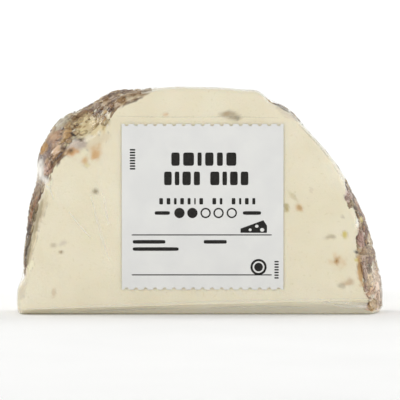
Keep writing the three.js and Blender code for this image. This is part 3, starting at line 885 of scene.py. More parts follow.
# %% Chips listed and by chance
# Angle, share, turn, length, width, height, how far it stands out, and bare share of each chip
CHIP_TRIES = 4000
BORDER_TRIES = 700
draw = np.random.default_rng(7)
chips = []
for x, z, length, seen_width, bare_share in SHOWN_CHIPS:
    angle, share_at, width = lie_seen_at(x, z, seen_width)
    chips.append((angle, share_at, 0, length, width, 0.4 * min(length, width) + 0.8, 0.9, bare_share))
for _ in range(CHIP_TRIES):
    length = 3.0 + 3.4 * draw.uniform() ** 1.3
    chips.append((
        draw.uniform(3, 177), draw.uniform(0.09, 0.95), draw.uniform(0, 180), length,
        length * draw.uniform(0.6, 0.9), length * draw.uniform(0.4, 0.55), draw.uniform(0.5, 1.0),
        draw.choice([0.0, 0.1, 0.5])))
for _ in range(BORDER_TRIES):
    length = draw.uniform(1.6, 4.2)
    chips.append((
        draw.uniform(3, 177), draw.uniform(0.35, 0.8) * length / THICKNESS, draw.uniform(-30, 30),
        length, length * draw.uniform(0.4, 0.7), length * 0.45, 0.6, draw.choice([0.0, 0.1, 0.5])))
chips = np.array(chips)
chip_places, chip_axes = coat_axes(chips[:, 0], chips[:, 1], chips[:, 2])
stands_out = chips[:, 6] * most_proud(chips[:, 1]) - chips[:, 5] / 2
chip_places = chip_places + chip_axes[:, 2] * stands_out[:, None]
chip_tones = draw.choice(CHIP_TONES, len(chips))
print("chips to choose from:", len(chips))

# %% Chips of the coat
LARGE_REACH = 0.84
CHIP_ROOM = 0.32
is_chosen = chip_places[:, 2] > 0.5 * chips[:, 3] + 0.4
is_chosen &= nuttiness(chips[:, 0], chips[:, 1]) > 0.7
is_chosen[:len(SHOWN_CHIPS)] = True
candidates = np.flatnonzero(is_chosen)
kept = candidates[keep_clear(
    chip_places[candidates], chips[candidates, 3], large_places, large_sizes[:, 0] * LARGE_REACH,
    len(SHOWN_CHIPS), CHIP_ROOM)]
is_shown = kept < len(SHOWN_CHIPS)
for name, chosen, rows, columns in (
        ("walnut_chips_in_front", is_shown, 14, 22), ("walnut_chips", ~is_shown, 7, 11)):
    own, seeds = kept[chosen], np.flatnonzero(chosen) + 50.0
    shapes, values = kernel_rings(chips[own, 3:6], seeds, chips[own, 7], rows, columns, 0.7)
    shapes = set_in(shapes, chip_axes[own], chip_places[own])
    walnut_pieces.append(add_skins(name, shapes, paint(values, shapes, chip_tones[own])))

# %% Crumbs of the coat
CRUMB_COUNT = 1000
crumb_sizes = draw.uniform(0.7, 1.9, (CRUMB_COUNT, 1)) * draw.uniform(0.6, 1, (CRUMB_COUNT, 3))
crumb_angles, crumb_shares = draw.uniform(2, 178, CRUMB_COUNT), draw.uniform(0.05, 0.97, CRUMB_COUNT)
crumb_places, crumb_axes = coat_axes(crumb_angles, crumb_shares, draw.uniform(0, 180, CRUMB_COUNT))
crumb_places = crumb_places - crumb_axes[:, 2] * 0.3 * crumb_sizes[:, 2:3]
is_chosen = (crumb_places[:, 2] > 1.5) & (nuttiness(crumb_angles, crumb_shares) > 0.5)
count = is_chosen.sum()
shapes, values = kernel_rings(
    crumb_sizes[is_chosen], np.arange(count) + 600.0, draw.choice([0.0, 0.3], count), 6, 9, 0.9)
shapes = set_in(shapes, crumb_axes[is_chosen], crumb_places[is_chosen])
paint(values, shapes, draw.choice(CHIP_TONES, count))
walnut_pieces.append(add_skins("walnut_crumbs", shapes, values))
print("crumbs:", int(count))

# %% [markdown]
# The bits in the cut faces are pieces of the same kernels, cut flat by the knife. Each is made as a
# whole piece, smaller than its stain, and sunk so deep that only its uneven top breaks the surface.

# %% Bits as solids
SOLID_STRENGTH = 0.7
BIT_SHARE = 0.62
BIT_HEIGHT = 0.9
BIT_SUNK = 0.41


def add_bits(name, bits, y, outward):
    """Kernels sunk into a face at depth y, for the stronger stains that lie well inside its edge.
    outward is -1 in front."""
    strong = [bit for bit in bits if bit[6] >= SOLID_STRENGTH]
    strong = [bit for bit in strong if is_inside(bit[0] * 1.1, bit[1] * 1.07, y / THICKNESS)]
    sizes = np.array([(BIT_SHARE * bit[2], BIT_SHARE * bit[3], BIT_HEIGHT) for bit in strong])
    turned = np.radians([bit[4] for bit in strong])
    first = np.stack([np.cos(turned), 0 * turned, np.sin(turned)], -1)
    out = np.broadcast_to([0.0, outward, 0.0], first.shape)
    places = np.array([(bit[0], y - outward * BIT_SUNK, bit[1]) for bit in strong])
    shapes, values = kernel_rings(sizes, np.arange(len(strong)) + 2000.0, 0 * turned, 16, 26, 0.9)
    # The bits lie flush in the face, so they keep only a tenth of the painted shade
    values["dark"] = values["dark"] * 0.1
    shapes = set_in(shapes, np.stack([first, np.cross(out, first), out], axis=1), places)
    tones = [under_film(TONES[bit[5]], COAT_DIMMING) for bit in strong]
    return add_skins(name, shapes, paint(values, shapes, tones))


walnut_pieces += [
    add_bits("bits_in_cut_face", FRONT_BITS, PASTE_UNDER_SURFACE, -1),
    add_bits("bits_in_back_face", back_bits, THICKNESS - PASTE_UNDER_SURFACE, 1),
]

# %% [markdown]
# ## The film
# Stretch film is pulled over the slice like a drum skin. It touches the bumps and spans the hollows
# between them. That is worked out the way it happens: the film starts on the surface, each point is
# drawn to the average of its neighbours, and where that would take it into a walnut it is put back on
# top. After enough passes the film lies still. Then it gets its wrinkles: fine ones run along the arch
# and the lower edge, where the film was gathered.

# %% The film lies on the slice
FILM_COLUMNS = 440
FILM_GAP = 0.12
rings, normals, share, _ = slice_grid(FILM_COLUMNS, 60, 8, 116)
is_base = ease(-normals[..., 2], 0.6, 0.95)


def height_over(piece, rings, normals, turns, shares, first_row, least):
    """Film height that clears a piece. Each of its vertices belongs to the grid point nearest to it,
    by its turn about the eye point and its share of the thickness. The height there is the vertex's
    own, along the normal, where that is more than least."""
    flat = np.zeros(len(piece.data.vertices) * 3)
    piece.data.vertices.foreach_get("co", flat)
    spots = from_frame(flat.reshape(-1, 3))
    turn = np.arctan2(spots[:, 0], spots[:, 2] - EYE_HEIGHT)
    column = np.round(np.interp(turn, turns, np.arange(len(turns)))).astype(int)
    row = np.round(np.interp(spots[:, 1] / THICKNESS, shares, np.arange(len(shares)))).astype(int)
    row = row + first_row
    height = ((spots - rings[row, column]) * normals[row, column]).sum(-1) + FILM_GAP
    highest = least.copy()
    np.maximum.at(highest, (row, column), height)
    return highest


# %% The film is drawn tight
def widen(height):
    """The highest value of each point and its four neighbours."""
    beside = np.maximum(np.roll(height, 1, axis=1), np.roll(height, -1, axis=1))
    above = np.maximum(np.roll(height, 1, axis=0), np.roll(height, -1, axis=0))
    return np.maximum(height, np.maximum(beside, above))


def stretch(rings, normals, least, passes):
    """Film height after many passes of drawing each point to its neighbours' average, weighted by
    closeness, and never below least."""
    width = np.linalg.norm(np.roll(rings, -1, axis=1) - rings, axis=-1, keepdims=True) ** -2.0
    depth = np.linalg.norm(np.gradient(rings, axis=0), axis=-1, keepdims=True)[1:-1] ** -2.0
    width = width[1:-1]
    height = least.copy()
    for _ in range(passes):
        film = rings + height[..., None] * normals
        beside = np.roll(film, -1, axis=1)[1:-1] + np.roll(film, 1, axis=1)[1:-1]
        middle = (width * beside + depth * (film[2:] + film[:-2])) / (2 * (width + depth))
        drawn = ((middle - rings[1:-1]) * normals[1:-1]).sum(-1)
        height[1:-1] = np.maximum(least[1:-1], drawn)
    return height


# %% Height of the film over the slice
STRETCH_PASSES = 500
FILM_UNDER_SURFACE = 0.06
FILM_UNDER_BASE = 0.02
resting = -FILM_UNDER_SURFACE + (FILM_UNDER_SURFACE - FILM_UNDER_BASE) * is_base
coat_rows = np.flatnonzero((share[:, 0] > 0) & (share[:, 0] < 1))
least = resting
for piece in walnut_pieces:
    if not piece.name.startswith("bits"):
        least = height_over(
            piece, rings, normals, crowded_turns(FILM_COLUMNS), share[coat_rows, 0], coat_rows[0], least)
least = widen(least) * (1 - is_base) + resting * is_base
height = stretch(rings, normals, least, STRETCH_PASSES)
print("film stands off the slice by up to", round(float((height - resting).max()), 2), "mm")

# %% [markdown]
# Wrinkles that run round the outline are noise on a stretched lattice: its points lie far apart along
# the outline and close together across it. The film turns white where it is creased, folded double or
# lies in gathers, so a number on each point says how milky it is there. At three spots that white is a
# painted highlight where the film glints.

# %% Gathers of the film
# x and z of the middle, reach both ways, turn from level, and how milky: gathers seen in front, and
# painted highlights where the film glints
FILM_HAZE_AND_GLINTS = [
    # Painted highlight: the film's white glint on the left flank, in these two
    (-53.1, 48.2, 1.1, 2.7, -6, 0.72),
    (-51.6, 45.2, 1.5, 0.9, -40, 0.55),
    (-59.6, 7.6, 1.2, 6.0, 0, 0.2),
    (-46.4, 64.3, 3.2, 1.1, 45, 0.22),
    (60.6, 9.0, 0.8, 6.5, 6, 0.35),
    # Painted highlight: a small glint of the film on the right
    (52.2, 30.1, 0.5, 0.7, 0, 0.7),
    (29.5, 68.0, 3.0, 1.2, -42, 0.15),
    (-32.6, 44.0, 1.3, 9.5, 3, 0.12),
    (-32.0, 24.0, 1.0, 12.0, 12, 0.09),
    (-38.0, 53.5, 6.5, 5.0, 0, 0.05),
    (-47.0, 40.0, 1.2, 6.0, 28, 0.07),
    (-54.5, 12.0, 2.2, 7.0, 10, 0.1),
    (-49.0, 19.0, 1.6, 9.0, 16, 0.06),
    (44.9, 46.6, 2.0, 7.5, 32, 0.13),
    (50.0, 12.0, 1.6, 8.0, -4, 0.07),
    (58.5, 15.0, 2.6, 13.0, 8, 0.13),
    (57.3, 11.4, 1.6, 2.4, 0, 0.3),
    (53.6, 33.0, 1.6, 7.0, 28, 0.08),
    (53.0, 3.6, 3.4, 0.5, -8, 0.5),
    (44.0, 4.6, 4.0, 0.4, 4, 0.35),
    (31.0, 4.0, 9.0, 0.7, 1, 0.12),
    (-14.0, 2.6, 16.0, 0.6, 2, 0.12),
    (-40.0, 2.2, 12.0, 0.7, 3, 0.1),
]
print("gathers of the film:", len(FILM_HAZE_AND_GLINTS))

# %% Wrinkles and milkiness of the film
path = np.cumsum(np.linalg.norm(np.roll(rings, -1, axis=1) - rings, axis=-1), axis=1)
depth = share * THICKNESS
along = np.stack([path / 14, depth / 0.9, 0 * depth], axis=-1)
across = np.stack([path / 1.1 + depth / 9, depth / 12, 0 * depth + 5], axis=-1)
streaks = noise(along, 1.0, 31) * 0.6 + noise(along * 2.1, 1.0, 32) * 0.4
pleats = noise(across, 1.0, 34) * 0.6 + noise(across * 1.9, 1.0, 35) * 0.4
on_rim = ease(np.minimum(share, 1 - share) * THICKNESS, 0.1, 2.0)
pulled = ease(share, 0.4, 0.9) * (0.4 + 0.6 * on_rim)
in_front = 1 - ease(share, 0.4, 0.8)
wrinkle = (1 - is_base) * (0.12 * on_rim * streaks * in_front + 0.22 * pulled * np.maximum(pleats, -0.2))
milk_and_glint = 0.04 * on_rim * ease(streaks, 0.15, 0.7) * in_front + 0.16 * pulled * ease(pleats, 0.25, 0.6)
for x, z, wide, high, turned, strength in FILM_HAZE_AND_GLINTS:
    across, up = rings[..., 0] - x, rings[..., 2] - z
    cosine, sine = math.cos(math.radians(turned)), math.sin(math.radians(turned))
    away = ((across * cosine + up * sine) / wide) ** 2 + ((up * cosine - across * sine) / high) ** 2
    uneven = 1 + 0.5 * noise(rings, 1.5, 33)
    milk_and_glint = np.maximum(milk_and_glint, strength * uneven * np.exp(-0.5 * away) * in_front)
film_points = rings + (height + np.maximum(wrinkle, -0.05))[..., None] * normals
film_points[..., 2] = np.maximum(film_points[..., 2], 0.01)
film = add_skins("stretch_film", film_points[None], {"milk_and_glint": np.clip(milk_and_glint, 0, 0.8)})

# %% [markdown]
# Where the film was pulled too far it keeps a crease. On the cut face a crease is a thin ridge that
# catches the light; its glint is painted as milky white. Each one here is a strip with a lens-shaped
# section along a path of a few points, thinner towards its ends.

# %% Paths of the creases
# Points as x and z, then width and how milky, which also paints the crease's glint
CREASES = [
    ([(-43.6, 34.4), (-40.4, 30.2), (-36.3, 25.6)], 0.7, 0.2),
    ([(-36.4, 40.0), (-34.6, 33.0), (-33.0, 26.7), (-30.3, 18.3)], 1.0, 0.17),
    ([(-32.6, 40.6), (-31.4, 35.6), (-30.6, 30.0)], 0.9, 0.17),
    ([(-51.8, 44.0), (-49.6, 41.4), (-48.8, 38.4)], 0.7, 0.18),
    ([(-27.9, 66.2), (-8.0, 65.8), (10.0, 66.0), (26.1, 65.6)], 0.4, 0.03),
    ([(-58.0, 2.0), (-34.0, 3.0), (-16.8, 3.7), (-0.1, 4.4), (33.5, 5.1), (56.9, 5.6)], 0.7, 0.1),
    ([(44.6, 3.4), (49.0, 2.6), (54.5, 2.9)], 0.8, 0.3),
    ([(40.0, 4.0), (46.0, 4.3), (56.0, 3.8)], 0.6, 0.2),
    ([(-40.0, 1.0), (-22.0, 1.8), (-6.0, 2.0)], 0.7, 0.1),
    ([(2.0, 2.2), (20.0, 2.9), (36.0, 2.4)], 0.7, 0.1),
]
print("creases:", len(CREASES))

# %% Creases of the film
CREASE_STEPS = 60


def crease_rings(paths, widths):
    """Rings of eight points along each path on the film: flat lens-shaped sections, whose width
    tapers to nothing at both ends, square to the path."""
    along = np.linspace(0, 1, CREASE_STEPS)
    stacks = []
    for path, width in zip(paths, widths):
        path = np.array(path, float)
        length = np.concatenate([[0], np.cumsum(np.linalg.norm(np.diff(path, axis=0), axis=1))])
        middle = np.stack([np.interp(along * length[-1], length, path[:, i]) for i in (0, 1)], -1)
        for _ in range(12):
            middle[1:-1] = (middle[:-2] + middle[2:]) / 2
        way = np.gradient(middle, axis=0)
        way /= np.linalg.norm(way, axis=1, keepdims=True)
        turned = np.linspace(0, 2 * math.pi, 8, endpoint=False)[None, :]
        half = (width / 2 * np.sin(math.pi * (0.02 + 0.96 * along)) ** 0.5)[:, None]
        x = middle[:, :1] + half * np.cos(turned) * way[:, 1:]
        z = middle[:, 1:] - half * np.cos(turned) * way[:, :1]
        lift = base_lift(x, 0)
        y = np.clip(1 - z / lift, 0, 1) * BEVEL_DEPTH
        y = y + FILM_UNDER_SURFACE - 0.03 + 0.03 * np.sin(turned) * np.minimum(half, 0.5)
        stacks.append(np.stack([x, y, z], -1))
    return np.array(stacks)


crease_points = crease_rings([crease[0] for crease in CREASES], [crease[1] for crease in CREASES])
crease_milk_and_glint = np.array([crease[2] for crease in CREASES])[:, None, None] + 0 * crease_points[..., 0]
creases = add_skins("film_creases", crease_points, {"milk_and_glint": crease_milk_and_glint})
creases.data.shade_flat()

# %% [markdown]
# ## The label
# The label is a sheet of coated paper. Its upper and lower edges are perforated like a stamp's: a row
# of half-round notches. A grid makes that when its columns stand where the edge needs them, closer
# together in each notch, and its rows run from the lower edge to the upper one.

# %% Sizes of the label
# The paper is a little smaller than the CAD's block: by so many mm at each side, below and above
TRIM_SIDE, TRIM_BELOW, TRIM_ABOVE = 0.62, 0.85, 0.35
LABEL_SIDE = (label_high.x - label_low.x) / MM - 2 * TRIM_SIDE
NOTCHES = 17
NOTCH_RADIUS = 0.72
SHEET_THICKNESS = 0.12
SHEET_Y = -0.22
label_low_z, label_high_z = label_low.z / MM + TRIM_BELOW, label_high.z / MM - TRIM_ABOVE


def sheet_y(x, z):
    """Depth of the sheet's back: it lies on the film, with two shallow swells."""
    swell = 0.14 * np.exp(-0.5 * (((x + 4) / 12) ** 2 + ((z - 44) / 9) ** 2))
    return SHEET_Y - swell - 0.08 * np.exp(-0.5 * (((x - 14) / 10) ** 2 + ((z - 20) / 8) ** 2))


# %% Label sheet
def notched_columns():
    """Where the grid's columns stand, and how deep the edge is bitten there: in each notch the
    columns follow a half circle, and a straight tooth lies on each side of it."""
    half = LABEL_SIDE / NOTCHES / 2
    bite = np.linspace(0, math.pi, 11)
    tooth = np.linspace(-half, -NOTCH_RADIUS, 4)[:-1]
    x = np.concatenate([tooth, -NOTCH_RADIUS * np.cos(bite)])
    depth = np.concatenate([0 * tooth, NOTCH_RADIUS * np.sin(bite)])
    middles = (np.arange(NOTCHES) + 0.5) * 2 * half - LABEL_SIDE / 2
    all_x = np.append((middles[:, None] + x).ravel(), LABEL_SIDE / 2)
    return all_x + LABEL_RIGHT_OF_MIDDLE, np.append(np.tile(depth, NOTCHES), 0)


def add_sheet(name, front, back):
    """A thin closed sheet from two grids of points, joined all round their edges."""
    rows, columns, _ = front.shape
    index = np.arange(rows * columns).reshape(rows, columns)
    quads = np.stack([index[:-1, :-1], index[:-1, 1:], index[1:, 1:], index[1:, :-1]], -1).reshape(-1, 4)
    border = np.concatenate([index[0, :-1], index[:-1, -1], index[-1, :0:-1], index[:0:-1, 0]])
    after = np.roll(border, -1)
    behind = rows * columns
    walls = np.stack([after, border, border + behind, after + behind], -1)
    faces = np.concatenate([quads, quads[:, ::-1] + behind, walls])
    return add_mesh(name, np.concatenate([front.reshape(-1, 3), back.reshape(-1, 3)]), faces.tolist())


column_x, bite = notched_columns()
rise = np.linspace(0, 1, 24)[:, None]
sheet_z = (label_low_z + bite) * (1 - rise) + (label_high_z - bite) * rise
sheet_x = np.broadcast_to(column_x, sheet_z.shape)
back_y = sheet_y(sheet_x, sheet_z)
label = add_sheet(
    "paper_label",
    np.stack([sheet_x, back_y - SHEET_THICKNESS, sheet_z], -1),
    np.stack([sheet_x, back_y, sheet_z], -1))
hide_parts("price_label")

# %% [markdown]
# The print is made of plain shapes only: blocks in two rows where a heading would be, thin bars for
# small lines, a scale of five dots of which two are full, two rules, a wedge with holes and a round
# seal. Each is a pad of ink: rings of a superellipse, whose power makes it round or square, from its
# middle to its edge and round to its back. A hollow dot is a small rectangle carried round a circle.

# %% Shapes of ink
INK_THICKNESS = 0.03
PAD_OUT = np.array([0.35, 0.75, 1, 1, 0.75, 0.35])
PAD_LIFT = np.array([1, 1, 1, -0.5, -0.5, -0.5]) * INK_THICKNESS


def pads(shapes, columns):
    """Pads of ink from (x, z, half width, half height, power): rings at shares of the way out, on
    the paper in front and just inside it behind."""
    x, z, wide, high, power = (np.array(column)[:, None, None] for column in zip(*shapes))
    around = np.linspace(0, 2 * math.pi, columns, endpoint=False)[None, None, :]
    cosine, sine = np.cos(around), np.sin(around)
    far = (np.abs(cosine) ** power + np.abs(sine) ** power) ** (-1 / power)
    out, lift = PAD_OUT[None, :, None], PAD_LIFT[None, :, None]
    px = x + wide * out * far * sine
    pz = z + high * out * far * cosine
    return np.stack([px, sheet_y(px, pz) - SHEET_THICKNESS - lift, pz], axis=-1)


def word_blocks(left, right, z, high, widths, gap):
    """A row of upright blocks between left and right, with the given relative widths. A width of
    0 leaves a word space."""
    total = sum(width if width else 0.55 for width in widths) + gap * (len(widths) - 1)
    unit = (right - left) / total
    blocks, at = [], left
    for width in widths:
        wide = (width if width else 0.55) * unit
        if width:
            blocks.append((at + wide / 2, z, wide / 2, high / 2, 7))
        at += wide + gap * unit
    return blocks


def hollow_dots(centres, radius, line, lift):
    """Rings of ink: a rectangle of width line carried round a circle. lift raises it, in mm."""
    around = np.linspace(0, 2 * math.pi, 40, endpoint=False)[None, :, None]
    radial = radius + line * np.array([-0.5, 0.5, 0.5, -0.5])
    height = lift + INK_THICKNESS * np.array([1, 1, -0.5, -0.5])
    middles = np.array(centres)
    px = middles[:, 0, None, None] + radial * np.sin(around)
    pz = middles[:, 1, None, None] + radial * np.cos(around)
    return np.stack([px, sheet_y(px, pz) - SHEET_THICKNESS - height, pz], axis=-1)


def add_hoops(name, hoops):
    """One mesh from hoops that are closed both ways: an array of bodies, sections and points."""
    bodies, sections, points, _ = hoops.shape
    index = np.arange(hoops[..., 0].size).reshape(bodies, sections, points)
    after = np.roll(index, -1, axis=1)
    quads = np.stack([index, np.roll(index, -1, axis=2), np.roll(after, -1, axis=2), after], axis=-1)
    return add_mesh(name, hoops.reshape(-1, 3), quads.reshape(-1, 4).tolist())


def wedge_pad(corners, middle):
    """A pad of ink in the shape of a convex polygon, whose corners are given clockwise: in each
    direction from its middle the edge is where the nearest side is crossed."""
    corners = np.array(corners) - middle
    sides = np.roll(corners, -1, axis=0) - corners
    facing = np.stack([-sides[:, 1], sides[:, 0]], axis=-1)
    away = (facing * corners).sum(-1)
    around = np.linspace(0, 2 * math.pi, 96, endpoint=False)
    way = np.stack([np.sin(around), np.cos(around)], axis=-1)
    far = 1 / np.max((way @ facing.T) / away, axis=1)
    px, pz = (middle[i] + PAD_OUT[:, None] * far * way[:, i] for i in (0, 1))
    return np.stack([px, sheet_y(px, pz) - SHEET_THICKNESS - PAD_LIFT[:, None], pz], axis=-1)[None]


# %% Blocks in place of words
heading = word_blocks(-9.6, 12.0, 51.9, 4.4, [1, 1.3, 0.5, 1, 0.7, 1.2], 0.42)
heading += word_blocks(-12.0, 16.0, 45.5, 4.5, [1, 0.6, 1.1, 0.8, 0, 1.2, 0.6, 1, 1], 0.4)
small = word_blocks(
    -13.6, 18.3, 37.9, 2.1, [1, 1, 0.7, 1, 0.8, 0.4, 1, 0, 1, 0.7, 0, 1, 0.6, 1, 0.8], 1.0)
print("blocks of print:", len(heading), "large,", len(small), "small")

# %% Ink pieces
RULE_LINE = 0.36
DOT_RADIUS = 1.72
DOT_LINE = 0.5
DOT_Z = 34.0
dot_x = [-6.9, -2.6, 1.8, 6.1, 10.5]
full_dots = [(x, DOT_Z, DOT_RADIUS, DOT_RADIUS, 2) for x in dot_x[:2]]
open_dots = [(x, DOT_Z) for x in dot_x[2:]]
scale_ends = [(-12.6, DOT_Z, 2.5, 0.6, 6), (17.2, DOT_Z, 3.0, 0.6, 6)]
small_lines = [(-17.0, 24.4, 5.4, 0.6, 9), (-14.8, 22.0, 7.6, 0.6, 9), (5.0, 24.4, 3.8, 0.6, 9)]
rules = [(0.5, 26.7, 23.3, RULE_LINE / 2, 30), (0.5, 13.4, 23.3, RULE_LINE / 2, 30)]
ticks = [(-22.5, 55.0 - 0.9 * i, 0.9, 0.26, 9) for i in range(8)]
ticks += [(25.4, 17.8 - 0.9 * i, 0.7, 0.24, 9) for i in range(7)]
seal = [(19.4, 16.0, 2.7, 2.7, 2)]
printed = heading + small + full_dots + scale_ends + small_lines + rules + ticks + seal
wedge = wedge_pad([(13.4, 27.4), (13.4, 28.8), (21.0, 31.6), (22.2, 29.8), (22.2, 27.4)], (18.6, 28.8))
holes = [(16.6, 28.4, 0.5, 0.45, 2), (18.8, 29.6, 0.6, 0.5, 2), (20.6, 28.4, 0.7, 0.6, 2)]
ink_pieces = [
    add_skins("printed_blocks", pads(printed, 32), {}),
    add_skins("printed_wedge", wedge, {}),
    add_hoops("printed_rings", hollow_dots(open_dots, DOT_RADIUS - DOT_LINE / 2, DOT_LINE, 0)),
]
paper_pieces = [
    add_skins("wedge_holes", pads(holes, 24) - [0, 1.5 * INK_THICKNESS, 0], {}),
    add_hoops("seal_ring", hollow_dots([seal[0][:2]], 1.7, 0.5, 1.5 * INK_THICKNESS)),
]

# %% [markdown]
# ## Materials
# A material is a small network of nodes, and each one here is named for the real stuff. One function
# adds a node: its settings by name, and for its sockets a value, a colour as a hex code, or the socket
# of another node. A socket goes by its name, or by its number where several share a name: on a Mix node
# for colours 0 is the share, 6 and 7 are the two colours, and output 2 is the result. The patterns are
# noise on the object's own coordinates, so they stay where they are when the slice moves, and each takes
# its size in millimetres from the real one.

# %% Node helper
def add_node(tree, kind, sockets, **settings):
    """Add a node with its settings. sockets gives each input a value, a hex colour or a socket."""
    node = tree.nodes.new("ShaderNode" + kind)
    for name, value in settings.items():
        setattr(node, name, value)
    for name, value in sockets.items():
        if isinstance(value, bpy.types.NodeSocket):
            tree.links.new(value, node.inputs[name])
        else:
            node.inputs[name].default_value = linear(value) if isinstance(value, str) else value
    return node


def start_material(name):
    """An empty material with its node tree, and the object coordinates that the patterns follow."""
    material = bpy.data.materials.new(name)
    material.use_nodes = True
    material.node_tree.nodes.clear()
    places = add_node(material.node_tree, "TexCoord", {}).outputs["Object"]
    return material, material.node_tree, places


# %% Patterns
def grain(tree, places, size, detail, low, high, most=1.0):
    """Noise with features size mm across, stretched so that low becomes 0 and high becomes most."""
    field = add_node(
        tree, "TexNoise", {"Vector": places, "Scale": 1 / (size * MM), "Detail": detail}).outputs["Fac"]
    return add_node(tree, "MapRange", {
        "Value": field, "From Min": low, "From Max": high, "To Max": most}).outputs["Result"]


def cracks(tree, places, size, width):
    """1 in thin lines between uneven cells size mm across, and 0 away from them."""
    warp = add_node(tree, "TexNoise", {"Vector": places, "Scale": 1 / (size * MM), "Detail": 2.0})
    bent = add_node(
        tree, "VectorMath", {0: warp.outputs["Color"], 1: (0.5 * size * MM,) * 3, 2: places},
        operation="MULTIPLY_ADD").outputs["Vector"]
    cells = add_node(
        tree, "TexVoronoi", {"Vector": bent, "Scale": 1 / (size * MM)}, feature="DISTANCE_TO_EDGE")
    return add_node(tree, "MapRange", {
        "Value": cells.outputs["Distance"], "From Min": width, "From Max": 0.0}).outputs["Result"]


# %% [markdown]
# The paste is cream and faintly mottled, and light goes a little way into it. Without subsurface
# scattering the same colour would look like plaster. Three layers lie over the cream, each laid on by an
# attribute of the mesh: painted shade that greys the bare coat, the walnut meal, and the oil stains with
# the coat's colours. The meal is ragged at its border and darker in its hollows, partly by dark crumbs
# and partly by painted shade.

# %% Paste material
# Soft full-fat cheese, smooth from the mould and the knife: cream, faintly mottled, lets light in
paste_material, tree, places = start_material("soft_cheese_paste")
# Painted shade that greys the coat
painted_coat_shade = add_node(tree, "Attribute", {}, attribute_name="painted_coat_shade").outputs["Fac"]
painted_coat_shade = add_node(tree, "Math", {0: painted_coat_shade, 1: 0.8}, operation="MULTIPLY").outputs["Value"]
cream = "#ece3c8"
for cover, laid in [
        (grain(tree, places, 14, 2, 0.35, 0.65), "#f0e8d0"),
        (grain(tree, places, 0.9, 2, 0.62, 0.8), "#e2d8b8"),
        (painted_coat_shade, "#d9d3c2")]:
    cream = add_node(tree, "Mix", {0: cover, 6: cream, 7: laid}, data_type="RGBA").outputs[2]
meal = "#8a6e52"
for cover, laid in [
        (grain(tree, places, 1.4, 3, 0.4, 0.6), "#bb9e77"),
        (grain(tree, places, 3.4, 2, 0.56, 0.66), "#d6c7a4")]:
    meal = add_node(tree, "Mix", {0: cover, 6: meal, 7: laid}, data_type="RGBA").outputs[2]
amount = add_node(tree, "Attribute", {}, attribute_name="meal").outputs["Fac"]
ragged = add_node(
    tree, "Math", {0: grain(tree, places, 0.6, 3, 0.3, 0.7), 1: 0.5, 2: amount},
    operation="MULTIPLY_ADD").outputs["Value"]
amount = add_node(tree, "MapRange", {"Value": ragged, "From Min": 0.7, "From Max": 0.85}).outputs["Result"]
stain_and_coat_node = add_node(tree, "Attribute", {}, attribute_name="stain_and_coat_colour")
# The meal is darker in spots: dark crumbs of walnut skin, and painted shade in its hollows and gaps; less
# so under laid colour
meal_crumbs_and_shade = add_node(
    tree, "Math", {0: grain(tree, places, 1.1, 3, 0.44, 0.6), 1: amount}, operation="MULTIPLY")
unstained = add_node(
    tree, "MapRange", {"Value": stain_and_coat_node.outputs["Alpha"], "To Min": 0.65, "To Max": 0.1}).outputs["Result"]
meal_crumbs_and_shade = add_node(tree, "Math", {0: meal_crumbs_and_shade.outputs["Value"], 1: unstained}, operation="MULTIPLY")
colour = cream
for cover, laid in [
        (amount, meal),
        (stain_and_coat_node.outputs["Alpha"], stain_and_coat_node.outputs["Color"]),
        (meal_crumbs_and_shade.outputs["Value"], "#5a4634")]:
    colour = add_node(tree, "Mix", {0: cover, 6: colour, 7: laid}, data_type="RGBA").outputs[2]
relief = grain(tree, places, 0.7, 4, 0.2, 0.8)
bump = add_node(tree, "Bump", {"Height": relief, "Strength": 0.12, "Distance": 0.4 * MM})
shader = add_node(tree, "BsdfPrincipled", {
    "Base Color": colour,
    "Roughness": 0.5,
    "IOR": 1.46,
    "Subsurface Weight": 0.3,
    "Subsurface Radius": (1.0, 0.7, 0.4),
    "Subsurface Scale": 1.5 * MM,
    "Normal": bump.outputs["Normal"],
})
add_node(tree, "OutputMaterial", {"Surface": shader.outputs["BSDF"]})
paste.data.materials.append(paste_material)
print(paste_material.name, len(tree.nodes), "nodes")

# %% [markdown]
# A walnut's skin is papery and dull, and darker along its veins. The darkening in its folds and low
# on each piece is painted shade. Where it broke, the flesh is cream and a little oily. Each kernel
# brings its own tone, and its own coordinates, so that no two have the same blotches. Multiplying
# keeps a blotch the colour of its skin, only deeper; the pale scuffs are mixed in.

# %% Walnut material
# Walnut kernel, broken by hand: thin papery skin from amber to brown, dull, and oily cream flesh
walnut_material, tree, places = start_material("walnut_kernel")
tone = add_node(tree, "Attribute", {}, attribute_name="tone").outputs["Color"]
own = add_node(tree, "Attribute", {}, attribute_name="own").outputs["Vector"]
lengthways = add_node(tree, "Mapping", {"Vector": own, "Scale": (0.5, 1, 1)}).outputs["Vector"]
oily = grain(tree, own, 1.3, 3, 0.42, 0.62)
flesh = add_node(tree, "Mix", {0: oily, 6: "#e0cfa6", 7: "#c9a877"}, data_type="RGBA").outputs[2]
amount = add_node(tree, "Attribute", {}, attribute_name="flesh").outputs["Fac"]
